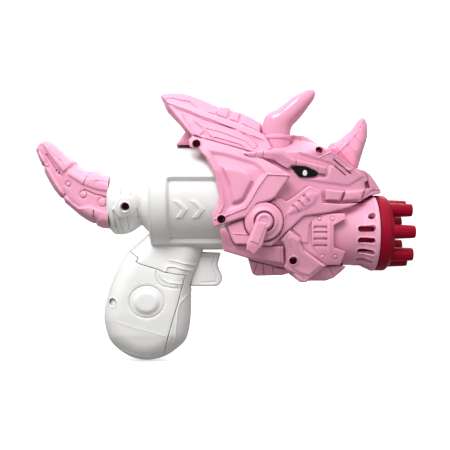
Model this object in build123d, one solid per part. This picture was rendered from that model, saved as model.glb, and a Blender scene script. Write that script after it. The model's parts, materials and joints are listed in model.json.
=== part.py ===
"""Hand-held bubble machine: a pistol grip with a horned dinosaur head, in millimetres.

Frame: origin at the middle of the hand grip, +X towards the muzzle, +Y to the toy's left, +Z up.
Most outer pieces are a side outline (X, Z) cut from a skin, so each is closed and of even wall.
"""
import os
from math import cos, pi, radians, sin, sqrt, tan

from build123d import *

# ---------------------------------------------------------------- driving dimensions
WALL = 2.2                 # moulded wall of the casings
REACH = 60.0               # longer than any half width, for cutting prisms

BODY_AXIS_Z = 71.0         # white barrel of the body
BODY_R = 35.7
BODY_REAR_X = 3.5
BODY_FRONT_X = 58.0
COLLAR_AXIS_Z = 68.2       # neck and collar that hold the tail

NOZZLE_AXIS_Z = 46.9       # fan, gears and nozzles share this axis
MUZZLE_R = 22.4
MUZZLE_BORE_R = 20.0
MUZZLE_REAR_X = 106.0
LIP_X = 157.3
LIP_R = 26.5
SLOT_COUNT = 18
SLOT_X = (142.5, 154.0)
SLOT_WIDTH = 4.6

RING_FRONT_X = 167.3
RING_R = 26.3
RING_CHAMFER = 3.2
NOZZLE_COUNT = 7
NOZZLE_PITCH_R = 19.2
NOZZLE_R = 4.7
NOZZLE_BORE_R = 3.3
NOZZLE_TIP_X = 181.5
NOZZLE_TURN = 3.2          # degrees that the near nozzle stands above the axis

DRUM_R = 19.4
DRUM_REAR_X = 132.0

GEAR_MODULE = 0.5
PINION_TEETH = 8
IDLER_TEETH = 32
RING_GEAR_TEETH = 48
IDLER_DISTANCE = GEAR_MODULE * (PINION_TEETH + IDLER_TEETH) / 2

MOTOR_X = (80.0, 105.0)
MOTOR_R = 10.0
MOTOR_FLAT = 15.4
SHAFT_R = 1.0
FAN_X = (110.0, 119.0)
FAN_R = 18.6
PLATE_X = (121.0, 123.0)

CELL_R = 7.2
CELL_LENGTH = 50.0
CELL_PITCH = 14.7
CELL_TILT = 5.0
CELL_CENTRE = (1.8, -2.6, -1.5)

TRIGGER_TRAVEL = 4.5
TRIGGER_HALF = 6.5
SCREW_R = 1.3
SCREW_HEAD_R = 2.6
SCREW_WELL_R = 2.9

# ---------------------------------------------------------------- outlines (X, Z)
COVER_OUTLINE = [(-40, 34.5), (-10.5, 34.5), (-6.5, 31), (-6.5, 27), (-4, 25.5), (12.5, 21), (27, 18),
                 (24.5, 9), (21.7, -1), (18.3, -12.5), (11.5, -37), (10, -50), (-40, -50)]
TRIGGER_OUTLINE = [(36, 33.8), (51, 33), (50, 30.5), (48.5, 25), (49.5, 21.5), (51.5, 17.5), (52, 14),
                   (50, 11), (46.5, 10), (32.5, 10)]
FRILL_OUTLINE = [(30, 108), (32.5, 111), (38.5, 109.5), (67, 101), (78, 96), (96.5, 84.5), (94.5, 81.5),
                 (86.5, 70.5), (83.5, 68.5), (74.5, 66), (67.5, 57.5), (63.5, 56.5), (47.5, 51), (46, 53),
                 (45.5, 59.5), (49, 65), (50, 70.5), (48, 81.5), (45, 89.5), (41, 97), (37, 101.5),
                 (31, 103.5)]
FRILL_PAD = [(50, 92.5), (68, 87.5), (70, 86.5), (72.5, 81), (66, 68.5), (61.5, 66), (58, 66.5), (56, 78.5)]
CHEEK_OUTLINE = [(54.5, 52), (59, 42), (60.5, 40), (84, 39), (87, 41.5), (105, 57.5), (107, 58.5),
                 (122.5, 60.5), (137, 64), (143.5, 67.5), (118, 75.5), (109, 78), (95.5, 69.5), (94, 68),
                 (90, 70), (86.5, 69.8), (83.7, 67.8), (74.8, 65.3), (67.8, 56.7), (63.5, 55.7)]
BROW_OUTLINE = [(66, 99), (78, 101), (90, 101), (92.5, 100.5), (99.5, 96), (109.5, 93.5), (120.5, 91),
                (120.5, 86), (116, 86.5), (113.5, 88.3), (107, 91.3), (97.5, 92.3), (95, 89.5), (90.5, 91.5),
                (86, 94.5), (78, 97.2), (70, 99)]
EYE_OUTLINE = [(97.5, 90.5), (103.5, 91), (110.5, 89), (114, 88), (115.5, 86), (113.5, 84.5), (108.5, 84),
               (103.5, 84), (102, 85), (99.5, 88)]
JAW_GUARD_OUTLINE = [(91, 44), (96, 49), (103.5, 43.5), (103.5, 40.5), (105.5, 36.5), (120.5, 25.5),
                     (110, 16.5), (108, 14.5), (103.5, 14.5), (101.5, 16), (98.5, 21), (95.5, 22),
                     (93, 24.5), (94, 28), (93.5, 36), (92, 40.5), (89.5, 42.5)]
COWL_OUTLINE = [(50, 51), (53, 35.5), (69.5, 30.5), (92.5, 27), (92, 38.5), (84, 38.6), (60.3, 39.5),
                (54, 51)]
SPINE_OUTLINE = [(20.5, 107.3), (28, 117.5), (13, 133), (10, 140), (11, 142), (13.5, 143), (18, 143.5),
                 (24.5, 143.5), (29.5, 142.5), (36.5, 140), (43.5, 137), (49.5, 134), (52.5, 135),
                 (56, 134.5), (58, 132.5), (63, 131), (66, 130), (71.5, 128), (77, 124.5), (79, 123.5),
                 (79, 107.3)]
WING_OUTLINE = [(12, 139), (16, 130.5), (21, 125.5), (29.5, 115), (32.3, 111.4), (41, 109), (67, 101.8),
                (77, 99), (85.5, 103), (79, 122), (52, 134.5), (28, 143)]
HEAD_OUTLINE = [(58.4, 106), (64, 110), (101, 112), (113, 108.5), (121, 104), (141.5, 91), (148, 89),
                (152.5, 86), (157, 81), (162.5, 77.5), (163.5, 75.5), (161.5, 74.5), (152.5, 72.5),
                (145, 68.5), (127, 66), (127, 26), (118, 25), (92, 24), (72, 29), (58.4, 35)]
CHIN_OUTLINE = [(70.5, 28.6), (73, 19), (75, 18), (92.5, 18.5), (100, 20.5), (103.5, 14.5), (113.5, 14.5),
                (122, 14.5), (127.5, 16.5), (133, 21.5), (135.5, 24.5), (121, 24.5), (92, 23.5)]
NOSE_HORN_OUTLINE = [(124, 104.5), (127.5, 110.5), (131.5, 111), (136.5, 114.5), (142, 119.5), (144, 121),
                     (147, 125.5), (148.5, 127), (150.5, 127.5), (152, 126.5), (153.5, 122.5),
                     (153.5, 118.5), (153, 112.5), (151, 106.5), (149, 100), (146, 91), (141.5, 91.8)]
BOSS = (79.0, 54.8)
BOSS_R = 12.4
LEVER_OUTLINE = [(74.5, 55), (68, 38), (69, 35), (73.5, 34), (76, 36), (82, 53)]

# ---------------------------------------------------------------- skins (half width across, height or length)
HEAD_FRONT = [(20, 22), (27, 34), (33, 48), (34, 62), (34, 90), (30.5, 100), (20, 105.5), (4, 113)]
HEAD_PLAN = [(58, 34), (84, 34), (96, 30), (122, 24.5), (145, 17), (158, 10), (165, 7)]
FRILL_SKIN = [(30.5, 113), (35, 100), (38.4, 88), (39, 70), (39, 48)]
WING_SKIN = [(3.4, 140.5), (20, 130), (31, 112), (33, 106)]
WING_SLOPE = -0.33
GUARD_SKIN = [(35, 50), (31, 36), (27, 24), (25, 13)]
COWL_SKIN = [(37.4, 53), (37, 48), (32, 38), (28.5, 26)]


def prism(points, low=-REACH, high=0.0):
    """Side outline (X, Z) run from one Y to another."""
    wire = Polyline(*[(x, low, z) for x, z in points], close=True)
    return extrude(make_face(wire), amount=high - low, dir=(0, 1, 0))


def front_prism(points, start, end, slope=0.0):
    """Front outline (Y, Z) run along X, climbing by slope."""
    wire = Polyline(*[(start, y, z) for y, z in points], close=True)
    length = (end - start) * sqrt(1 + slope * slope)
    return extrude(make_face(wire), amount=length, dir=(1, 0, slope))


def plan_prism(points, low, high):
    """Plan outline (X, Y) run along Z."""
    wire = Polyline(*[(x, y, low) for x, y in points], close=True)
    return extrude(make_face(wire), amount=high - low, dir=(0, 0, 1))


def rod_x(radius, start, end, y=0.0, z=NOZZLE_AXIS_Z):
    """Round bar along X."""
    place = Plane(origin=(start, y, z), x_dir=(0, 1, 0), z_dir=(1, 0, 0))
    return extrude(place * Circle(radius), amount=end - start)


def rod_y(radius, start, end, x, z):
    """Round bar along Y."""
    place = Plane(origin=(x, start, z), x_dir=(1, 0, 0), z_dir=(0, 1, 0))
    return extrude(place * Circle(radius), amount=end - start)


def turned(profile, axis_z):
    """Solid of revolution about a line along X: profile is (X, radius)."""
    wire = Polyline(*[(x, 0, axis_z + r) for x, r in profile], close=True)
    return revolve(make_face(wire), axis=Axis((0, 0, axis_z), (1, 0, 0)))


def box(x, y, z):
    """Block from three (low, high) pairs."""
    size = Box(x[1] - x[0], y[1] - y[0], z[1] - z[0])
    return Pos((x[0] + x[1]) / 2, (y[0] + y[1]) / 2, (z[0] + z[1]) / 2) * size


def band(skin, thickness, start, end, slope=0.0):
    """Wall on the right side that follows a skin of (half width, height)."""
    outer = [(-w, z) for w, z in skin]
    inner = [(-w + thickness, z) for w, z in reversed(skin)]
    return front_prism(outer + inner, start, end, slope)


def full(solid_or_list):
    """One part from a list of solids."""
    return Part() + solid_or_list


def mirrored(solid):
    """The same piece on the toy's left side."""
    return mirror(solid, about=Plane.XZ)


def oval_loft(sections, shrink=0.0):
    """Skin through ovals: (x, z, lean, half height, half width) along a curve in the X-Z plane."""
    faces = []
    for x, z, lean, half_height, half_width in sections:
        up = (cos(radians(lean + 90)), 0, sin(radians(lean + 90)))
        along = (cos(radians(lean)), 0, sin(radians(lean)))
        place = Plane(origin=(x, 0, z), x_dir=up, z_dir=along)
        faces.append(place * Ellipse(half_height - shrink, half_width - shrink))
    return loft(faces)


# ---------------------------------------------------------------- white body
GRIP_SECTIONS = [(-40.4, -8.5, 7.5, 7.0), (-37, -17.5, 16, 10.5), (-31, -23.5, 23.3, 14.0),
                 (-22, -28.3, 28.6, 16.5), (-8, -30.6, 30.4, 17.5), (6, -28.6, 30.5, 17.5),
                 (18, -24, 33, 17.0), (29, -17.5, 38.0, 16.0), (40, -8, 41.0, 15.0), (50, -4, 42.0, 14.0)]


def grip_solid(shrink, lowest, highest):
    """Grip through level sections of (height, rear, front, half width) with squarish corners."""
    faces = []
    for height, rear, front, half in GRIP_SECTIONS:
        if lowest <= height <= highest:
            length = front - rear - 2 * shrink
            width = 2 * (half - shrink)
            corner = 0.42 * min(length, width)
            place = Pos((front + rear) / 2, 0, height)
            faces.append(place * RectangleRounded(length, width, corner))
    return loft(faces)


grip_outer = grip_solid(0, -41, 51)
grip_inner = grip_solid(WALL, -38, 51)
COLLAR_PROFILE = [(-26, 18.3), (-25, 20), (-22.5, 22.3), (-17.5, 22.4), (-13, 21.3), (-8.5, 19), (-5, 15.8),
                  (-3.5, 15.8), (0, 20.2), (4.2, 21.5)]


def body_outer():
    barrel = rod_x(BODY_R, BODY_REAR_X, BODY_FRONT_X, z=BODY_AXIS_Z)
    rim = barrel.edges().group_by(Axis.X)[0]
    barrel = chamfer(rim, 2.0)
    collar = turned([(-26, 0)] + COLLAR_PROFILE + [(4.2, 0)], COLLAR_AXIS_Z)
    return barrel + collar + grip_outer


def body_inner():
    barrel = rod_x(BODY_R - WALL, BODY_REAR_X + WALL, BODY_FRONT_X + 1, z=BODY_AXIS_Z)
    hollow = [(x, r - WALL) for x, r in COLLAR_PROFILE]
    collar = turned([(-26.5, 0), (-26.5, 15)] + hollow[1:] + [(6, 19.3), (6, 0)], COLLAR_AXIS_Z)
    return barrel + collar + grip_inner


def window_recess():
    """Shallow panel on each side of the barrel."""
    outline = [(14.5, 41.5), (52.5, 41.5), (52.5, 84.5), (14.5, 84.5)]
    return prism(outline, -REACH, -(BODY_R - 4.0)) + prism(outline, BODY_R - 4.0, REACH)


CHEVRON = [(0, 13), (4.5, 13), (10.5, 6.5), (6, 0), (1.5, 0), (6, 6.5)]
CHEVRON_X = (19.5, 30.5)
CHEVRON_Z = 55.5

WINDOW_BACK = [(12, 39), (55, 39), (55, 87), (12, 87)]
window_back = prism(WINDOW_BACK, -REACH, -(BODY_R - 6.3)) + prism(WINDOW_BACK, BODY_R - 6.3, REACH)
shell_whole = body_outer() - window_recess()
shell_hollow = body_inner() - window_back
trigger_slot = box((27, 60), (-TRIGGER_HALF - 0.4, TRIGGER_HALF + 0.4), (9.4, 34.3))
shell_whole = shell_whole - shell_hollow - trigger_slot

SHELL_SCREWS = [(-13.1, 64.6, 21.0), (-1.5, -33.5, 8.0)]   # collar, and inside the battery bay
right_side = box((-100, 200), (-REACH, -0.05), (-60, 160))
left_side = box((-100, 200), (0.05, REACH), (-60, 160))


def screw_well(x, z, y_outer, depth=6.0):
    """Counterbore on the right side, with the shank's hole behind it."""
    return rod_y(SCREW_WELL_R, y_outer - 2, y_outer + depth, x, z) + rod_y(SCREW_R + 0.15, y_outer, -0.05, x, z)


def screw_post(x, z, y_outer):
    """Boss behind the counterbore."""
    return rod_y(SCREW_WELL_R + 1.6, y_outer, -0.05, x, z)


def screw(x, z, y_head, length):
    """Pan head screw driven along +Y: the head's underside is at y_head."""
    slot = box((x - 0.4, x + 0.4), (y_head - 1.9, y_head - 0.9), (z - 1.7, z + 1.7))
    cross = box((x - 1.7, x + 1.7), (y_head - 1.9, y_head - 0.9), (z - 0.4, z + 0.4))
    head = rod_y(SCREW_HEAD_R, y_head - 1.7, y_head, x, z) - slot - cross
    return head + rod_y(SCREW_R, y_head, y_head + length, x, z)


body_right = shell_whole & right_side
body_left = shell_whole & left_side
for place_x in CHEVRON_X:
    bar = prism([(place_x + x, CHEVRON_Z + z) for x, z in CHEVRON], -(BODY_R - 3.0), -(BODY_R - 4.2))
    body_right = body_right + bar
    body_left = body_left + mirrored(bar)

# battery cover: the rear and lower part of the right grip wall
COVER_EDGE_Y = -3.0
cover_prism = prism(COVER_OUTLINE, -REACH, COVER_EDGE_Y)
cover_region = box((-REACH, REACH), (-REACH, COVER_EDGE_Y), (-60, 34.4)) & cover_prism
cover_wall = (grip_outer - grip_inner) & cover_region
body_right = body_right - cover_prism
BADGE = (1.0, 1.0)
BADGE_R = 11.5
badge_ring = rod_y(BADGE_R, -19.3, -16.0, *BADGE) - rod_y(BADGE_R - 2.2, -20, -15, *BADGE)
badge_dome = rod_y(BADGE_R - 3.4, -19.6, -16.0, *BADGE)
# the cover's own outline is 0.4 mm inside the opening's
COVER_LID_OUTLINE = [(-40, 34.1), (-10.8, 34.1), (-6.9, 30.8), (-6.9, 26.8), (-4.3, 25.2), (12.3, 20.7),
                     (26.5, 17.7), (24.1, 9), (21.3, -1), (17.9, -12.5), (11.1, -37), (9.6, -50), (-40, -50)]
battery_cover = cover_wall & prism(COVER_LID_OUTLINE, -REACH, COVER_EDGE_Y - 0.3)
battery_cover = battery_cover + badge_ring + badge_dome
COVER_SCREW = (-22.0, 0.0)
cover_post = rod_y(4.2, -13.5, -8.0, *COVER_SCREW) & grip_outer
battery_cover = battery_cover + cover_post
battery_cover = battery_cover - rod_y(SCREW_WELL_R, -20, -9.2, *COVER_SCREW)
battery_cover = battery_cover - rod_y(SCREW_R + 0.15, -20, -5, *COVER_SCREW)

# screw posts and wells in the body shells
grip_bay_wall = grip_outer - grip_solid(WALL + 0.6, -38, 51)
grip_or_collar = grip_outer + turned([(-26, 0)] + COLLAR_PROFILE + [(4.2, 0)], COLLAR_AXIS_Z)
for place_x, place_z, reach_y in SHELL_SCREWS:
    post = screw_post(place_x, place_z, -reach_y)
    well = screw_well(place_x, place_z, -reach_y, reach_y / 3)
    left_post = mirrored(screw_post(place_x, place_z, -REACH)) & grip_or_collar
    if place_z < 0:
        post = post - (grip_bay_wall & cover_prism)
    body_right = body_right + post - well
    body_left = body_left + left_post - rod_y(SCREW_R + 0.05, 0, reach_y - 2, place_x, place_z)
tail_bore = rod_x(15.2, -27, -19.5, z=COLLAR_AXIS_Z)
body_right = body_right - tail_bore
body_left = body_left - tail_bore

# ---------------------------------------------------------------- trigger, spring and switch
TRIGGER_GUIDE = [(33.4, 31), (38, 31), (35.8, 34), (35.8, 38.5), (33.6, 38.5)]
trigger = prism(TRIGGER_OUTLINE, -TRIGGER_HALF, TRIGGER_HALF)
trigger = chamfer(trigger.edges().group_by(Axis.X)[-1], 1.5) + prism(TRIGGER_GUIDE, -3.0, 3.0)
trigger = trigger - box((30, 45), (-TRIGGER_HALF + 1.8, TRIGGER_HALF - 1.8), (14, 26))
SPRING_X = (27.6, 44.9)
SPRING_Z = 22.0
SPRING_R = 2.6
SPRING_WIRE_R = 0.45
SPRING_COILS = 9


def coil_spring(start, end, radius, wire_r, coils, y, z):
    """Round coils stacked along X."""
    pitch = (end - start - 2 * wire_r) / (coils - 1)
    rings = []
    for turn in range(coils):
        place = Plane(origin=(start + wire_r + turn * pitch, y, z), x_dir=(0, 1, 0), z_dir=(1, 0, 0))
        rings.append(Solid.make_torus(radius, wire_r, place))
    spine = box((start, end), (y + radius - 0.3, y + radius + 0.3), (z - 0.3, z + 0.3))
    solid = spine
    for one in rings:
        solid = solid + one
    return solid


trigger_spring = coil_spring(*SPRING_X, SPRING_R, SPRING_WIRE_R, SPRING_COILS, 0.0, SPRING_Z)
spring_seat = box((26.4, 27.5), (0.1, 17), (18.5, 25.5)) & grip_outer
body_left = body_left + spring_seat

SWITCH_X = (19.0, 28.0)
switch_body = box(SWITCH_X, (-3.2, 3.2), (34.5, 40.5))
switch_legs = box((14.5, 19), (-2.4, -1.6), (36, 39)) + box((14.5, 19), (1.6, 2.4), (36, 39))
trigger_switch = switch_body + switch_legs
switch_leaf = prism([(28, 35.2), (28, 34.8), (30, 35.0), (33.3, 36.4), (33.3, 37.0), (30, 35.4)], -2.2, 2.2)

# ---------------------------------------------------------------- battery pack
pack_place = Pos(*CELL_CENTRE) * Rot(0, CELL_TILT, 0)
cells = []
springs = []
plates = []
for index in (-1, 0, 1):
    offset = index * CELL_PITCH
    sense = 1 if index % 2 == 0 else -1
    can = Pos(offset, 0, 0) * Cylinder(CELL_R, CELL_LENGTH - 1.4)
    button = Pos(offset, 0, sense * (CELL_LENGTH / 2 - 0.45)) * Cylinder(2.7, 0.9)
    cells.append(pack_place * (can + button))
    spring_low = -sense * (CELL_LENGTH / 2 + 0.35)
    coil = Pos(offset, 0, spring_low) * (Cylinder(3.2, 1.8) - Cylinder(2.4, 1.8))
    springs.append(pack_place * coil)
    plates.append(pack_place * Pos(offset, 0, sense * (CELL_LENGTH / 2 + 0.4)) * Box(11, 9, 0.5))
battery_cells = full(cells)
contact_springs = full(springs)
contact_plates = full(plates)
tray_back = Pos(0, CELL_R + 1.2, 0) * Box(3 * CELL_PITCH - 1, 1.6, CELL_LENGTH - 2)
tray = tray_back
for end in (-1, 1):
    tray = tray + Pos(0, 1.5, end * (CELL_LENGTH / 2 + 1.9)) * Box(3 * CELL_PITCH - 5, 13, 1.2)
    tray = tray + Pos(0, CELL_R + 1.2, end * (CELL_LENGTH / 2 + 0.4)) * Box(3 * CELL_PITCH - 5, 1.6, 4.2)
battery_tray = (pack_place * tray) & grip_solid(WALL + 1.0, -38, 51)

# ---------------------------------------------------------------- tail
TAIL_SECTIONS = [(-26.2, 68.0, 180, 18.3, 17.0), (-33.5, 70.4, 166, 19.0, 16.5), (-40.7, 73.2, 156, 17.6, 15.5),
                 (-48.3, 77.4, 145, 16.0, 14.2), (-54.6, 83.4, 133, 14.2, 12.6), (-60.8, 89.6, 128, 12.2, 10.8),
                 (-65.8, 95.8, 126, 10.0, 9.0), (-70.3, 102.2, 126, 7.8, 7.0), (-74.2, 107.0, 135, 4.6, 4.6)]
TAIL_HOLLOW_SECTIONS = TAIL_SECTIONS[:7]
tail_whole = oval_loft(TAIL_SECTIONS)
tail_spigot = rod_x(15.0, -26.4, -20.0, z=COLLAR_AXIS_Z) - rod_x(12.8, -27, -19.0, z=COLLAR_AXIS_Z)
tail_whole = tail_whole - oval_loft(TAIL_HOLLOW_SECTIONS, WALL) + tail_spigot
tail_half_right = tail_whole & right_side
tail_half_left = tail_whole & left_side

# ---------------------------------------------------------------- head shells
def two_sided(skin_front, skin_plan, inset):
    """Head core from its front and plan skins."""
    front = [(-w + inset, z) for w, z in skin_front] + [(w - inset, z) for w, z in reversed(skin_front)]
    plan = [(x, -w + inset) for x, w in skin_plan] + [(x, w - inset) for x, w in reversed(skin_plan)]
    return front_prism(front, 50, 170) & plan_prism(plan, 0, 130)


MUZZLE_CLEARANCE = [(MUZZLE_REAR_X - 0.2, 0), (MUZZLE_REAR_X - 0.2, MUZZLE_R + 0.15), (147.3, MUZZLE_R + 0.15),
                    (153.3, LIP_R + 0.3), (175, LIP_R + 0.3), (175, 0)]
HEAD_HOLLOW_OUTLINE = [(57, 103), (64, 107.5), (100, 109.5), (112, 106), (119, 102), (139.5, 88.5),
                       (148, 85), (155, 78), (150, 75), (142, 71.2), (124.6, 68.5), (124.6, 60), (107, 60),
                       (107, 27.4), (92, 26.4), (73, 31), (57, 38)]
core = prism(HEAD_OUTLINE, -REACH, REACH) & two_sided(HEAD_FRONT, HEAD_PLAN, 0)
core = core - (prism(HEAD_HOLLOW_OUTLINE, -REACH, REACH) & two_sided(HEAD_FRONT, HEAD_PLAN, WALL))
core = core - turned(MUZZLE_CLEARANCE, NOZZLE_AXIS_Z)
louvre_cut = Part()
for index in range(4):
    louvre_cut = louvre_cut + box((112.5, 123), (-REACH, REACH), (36.0 + index * 5.2, 38.6 + index * 5.2))
core = core - louvre_cut
HEAD_SCREWS = [(116.5, 101.5, 17.5), (98.5, 30, 24.0)]
head_right = core & right_side
head_left = core & left_side
for place_x, place_z, reach_y in HEAD_SCREWS:
    post = screw_post(place_x, place_z, -reach_y)
    head_right = head_right + post - screw_well(place_x, place_z, -reach_y, reach_y / 3)
    head_left = head_left + mirrored(post) - rod_y(SCREW_R + 0.05, 0, reach_y - 2, place_x, place_z)

# ---------------------------------------------------------------- armour plates
def plate(outline, skin, thickness, start, end, slope=0.0):
    """Right-hand plate: a side outline cut from a skin's wall."""
    return prism(outline) & band(skin, thickness, start, end, slope)


def offset_plan(skin, rise, thickness):
    """Wall that follows the head's plan, standing off by rise."""
    outer = [(x, -w - rise - thickness) for x, w in skin]
    inner = [(x, -w - rise) for x, w in reversed(skin)]
    return plan_prism(outer + inner, 0, 130)


frill_right = plate(FRILL_OUTLINE, FRILL_SKIN, 2.6, 28, 98)
frill_right = frill_right + (prism(FRILL_PAD, -40.2, -38) & band(FRILL_SKIN, -1.3, 28, 98))
frill_right = frill_right - rod_y(BOSS_R + 0.3, -50, -30, *BOSS)
FRILL_SCREWS = [(36.5, 104.3), (51.3, 55.8)]
for place_x, place_z in FRILL_SCREWS:
    face_y = -34.2 if place_z > 90 else -39
    boss = rod_y(4.3, face_y - 0.6, face_y + 3.2, place_x, place_z)
    frill_right = frill_right + boss
    frill_right = frill_right - rod_y(SCREW_WELL_R, face_y - 2, face_y + 1.9, place_x, place_z)
    frill_right = frill_right - rod_y(SCREW_R + 0.15, face_y - 2, face_y + 4, place_x, place_z)
cheek_right = prism(CHEEK_OUTLINE) & offset_plan(HEAD_PLAN, 0.2, 2.4)
slots = Part()
for index in range(3):
    top_x = 104.0 - 3.2 * index
    top_z = 72.0 - 3.2 * index
    slots = slots + prism([(top_x, top_z), (top_x + 1.3, top_z), (top_x + 5.5, top_z - 5),
                           (top_x + 4.2, top_z - 5)])
brow_right = (prism(BROW_OUTLINE) & offset_plan(HEAD_PLAN, 0.2, 2.8)) - frill_right
cheek_right = cheek_right - slots
EYE_PLACE = offset_plan(HEAD_PLAN, 0.2, 1.2)
eye_right = prism(EYE_OUTLINE) & EYE_PLACE
envelope = prism(HEAD_OUTLINE, -REACH, REACH) & two_sided(HEAD_FRONT, HEAD_PLAN, 0)
wide_envelope = two_sided(HEAD_FRONT, HEAD_PLAN, -0.15)
guard_right = (prism(JAW_GUARD_OUTLINE) & band(GUARD_SKIN, 4.0, 85, 125)) - wide_envelope
guard_right = guard_right - head_right - rod_y(SCREW_WELL_R - 1.2, -31, -26, 98.5, 30)
cowl_right = (prism(COWL_OUTLINE) & band(COWL_SKIN, 2.2, 48, 94)) - wide_envelope - frill_right - guard_right
wing_right = plate(WING_OUTLINE, WING_SKIN, 2.6, 32, 90, WING_SLOPE)
wing_right = wing_right + plate(WING_OUTLINE, WING_SKIN, 2.6, 32, 8, WING_SLOPE)
wing_right = wing_right - box((-10, 100), (-3.35, 5), (90, 160)) - envelope - frill_right
crest = prism(SPINE_OUTLINE, -3.2, 3.2) - envelope
chin = prism(CHIN_OUTLINE, -17.5, 17.5) - envelope - turned(MUZZLE_CLEARANCE, NOZZLE_AXIS_Z)
boss_right = rod_y(BOSS_R, -38.6, -36.8, *BOSS) + rod_y(8.4, -40.6, -36.8, *BOSS)
lever_right = prism(LEVER_OUTLINE, -44.0, -41.0)
boss_right = boss_right - rod_y(5.9, -41, -38.0, *BOSS)
lever_right = lever_right + rod_y(5.6, -44.0, -38.1, *BOSS)
HORN_SECTIONS = [(88.7, 112.6, 90, 9.4, 9.4), (89.1, 119.2, 80, 9.6, 9.5), (90.6, 123.4, 73, 9.7, 9.4),
                 (93.0, 125.9, 68, 9.0, 9.0), (96.3, 128.4, 62, 7.8, 8.2), (101.0, 132.3, 56.5, 7.0, 7.2),
                 (105.5, 136.7, 57, 6.3, 6.3), (109.4, 140.0, 57, 5.0, 5.0), (112.4, 142.8, 58, 3.0, 3.0)]
HORN_Y = -13.0
horn_right = Pos(0, HORN_Y, 0) * oval_loft(HORN_SECTIONS)
horn_right = horn_right + Pos(88.6, HORN_Y, 112.6) * Cylinder(6.0, 5.0)
horn_hole = Pos(88.6, HORN_Y, 110) * Cylinder(6.3, 14.0)
socket = Pos(88.6, HORN_Y, 107.7) * Cylinder(10.6, 9.0)
horn_socket_right = (socket - horn_hole) - envelope
wing_right = wing_right - Pos(88.6, HORN_Y, 120) * Cylinder(10.9, 40.0)
head_right = head_right - horn_hole
head_left = head_left - mirrored(horn_hole)
brow_right = brow_right - socket
nose_profile = [(-10, 88), (10, 88), (8.5, 104), (1.5, 128), (-1.5, 128), (-8.5, 104)]
nose_horn = prism(NOSE_HORN_OUTLINE, -REACH, REACH) & front_prism(nose_profile, 110, 160)
nose_horn = nose_horn - envelope

# ---------------------------------------------------------------- muzzle, fan and motor
MUZZLE_PROFILE = [(MUZZLE_REAR_X, MUZZLE_BORE_R), (MUZZLE_REAR_X, MUZZLE_R), (147.5, MUZZLE_R), (153.5, LIP_R - 0.6),
                  (155.2, LIP_R), (LIP_X, LIP_R), (LIP_X, MUZZLE_BORE_R)]
muzzle_barrel = turned(MUZZLE_PROFILE, NOZZLE_AXIS_Z)
slot_block = box(SLOT_X, (-30, -10), (NOZZLE_AXIS_Z - SLOT_WIDTH / 2, NOZZLE_AXIS_Z + SLOT_WIDTH / 2))
muzzle_axis = Axis((0, 0, NOZZLE_AXIS_Z), (1, 0, 0))
for index in range(SLOT_COUNT):
    muzzle_barrel = muzzle_barrel - slot_block.rotate(muzzle_axis, 360 / SLOT_COUNT * (index - 0.35))


def gear(teeth, start, end, internal=False):
    """Spur gear about the nozzle axis; an internal gear is returned as the cutter of its bore."""
    pitch_r = GEAR_MODULE * teeth / 2
    tip, root, share = (0.85, 1.15, 0.42)
    if internal:
        tip, root, share = (1.15, 0.85, 0.56)
    flank = [(pitch_r - root * GEAR_MODULE, 0.78), (pitch_r, share), (pitch_r + tip * GEAR_MODULE, 0.2)]
    points = []
    for index in range(teeth):
        for radius, width in flank:
            points.append((index - width / 2, radius))
        for radius, width in reversed(flank):
            points.append((index + width / 2, radius))
    outline = []
    for step, radius in points:
        angle = 2 * pi * step / teeth
        outline.append((radius * cos(angle), NOZZLE_AXIS_Z + radius * sin(angle)))
    return front_prism(outline, start, end)


motor_can = rod_x(MOTOR_R, *MOTOR_X) & box(MOTOR_X, (-MOTOR_FLAT / 2, MOTOR_FLAT / 2), (0, 90))
motor_can = motor_can + rod_x(3.0, MOTOR_X[1], MOTOR_X[1] + 1.6) - rod_x(SHAFT_R + 0.06, MOTOR_X[0] + 6, 110)
CRADLE_X = (81.5, 93.0)
CAN_HALF = MOTOR_FLAT / 2 + 0.05
can_room = rod_x(MOTOR_R + 0.05, 78, 110) & box((78, 110), (-CAN_HALF, CAN_HALF), (0, 90))
motor_mount = box(CRADLE_X, (-11.5, 11.5), (29.4, 53.0)) - can_room
motor_mount = motor_mount - box((78, 110), (-CAN_HALF, CAN_HALF), (NOZZLE_AXIS_Z, 90))
motor_shaft = rod_x(SHAFT_R, MOTOR_X[0] + 7, 127.6)
fan = rod_x(4.2, *FAN_X) + rod_x(1.9, 119, 120.2)
for index in range(7):
    blade = Pos((FAN_X[0] + FAN_X[1]) / 2, 0, NOZZLE_AXIS_Z) * Rot(0, 28, 0) * Box(9.5, 2 * FAN_R, 1.2)
    blade = blade & box(FAN_X, (0, REACH), (0, 100))
    fan = fan + blade.rotate(muzzle_axis, index * 360 / 7)
fan = (fan & rod_x(FAN_R, *FAN_X)) + rod_x(1.9, 118.5, 120.2)
fan = fan - rod_x(SHAFT_R, 100, 125)
gear_plate = rod_x(MUZZLE_BORE_R - 0.05, *PLATE_X)
for angle in (35, 90, 145, 215, 325):
    port_y = 12.2 * cos(radians(angle + 180))
    port_z = 12.2 * sin(radians(angle + 180))
    gear_plate = gear_plate - rod_x(4.6, 120, 125, port_y, NOZZLE_AXIS_Z + port_z)
gear_plate = gear_plate - rod_x(SHAFT_R + 0.06, 120, 125)
IDLER_Z = NOZZLE_AXIS_Z + IDLER_DISTANCE
idler_pin = rod_x(0.9, PLATE_X[0], 135.5, z=IDLER_Z)
gear_plate = gear_plate - rod_x(0.9, 120, 125, z=IDLER_Z)
pinion = gear(PINION_TEETH, 124.0, 127.6) - rod_x(SHAFT_R, 120, 130)
half_step = 180 / IDLER_TEETH
idler_wheel = Pos(0, 0, IDLER_DISTANCE) * gear(IDLER_TEETH, 124.0, 127.4).rotate(muzzle_axis, half_step + 90)
idler_small = Pos(0, 0, IDLER_DISTANCE) * gear(PINION_TEETH, 127.4, 135.3).rotate(muzzle_axis, 90)
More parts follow.
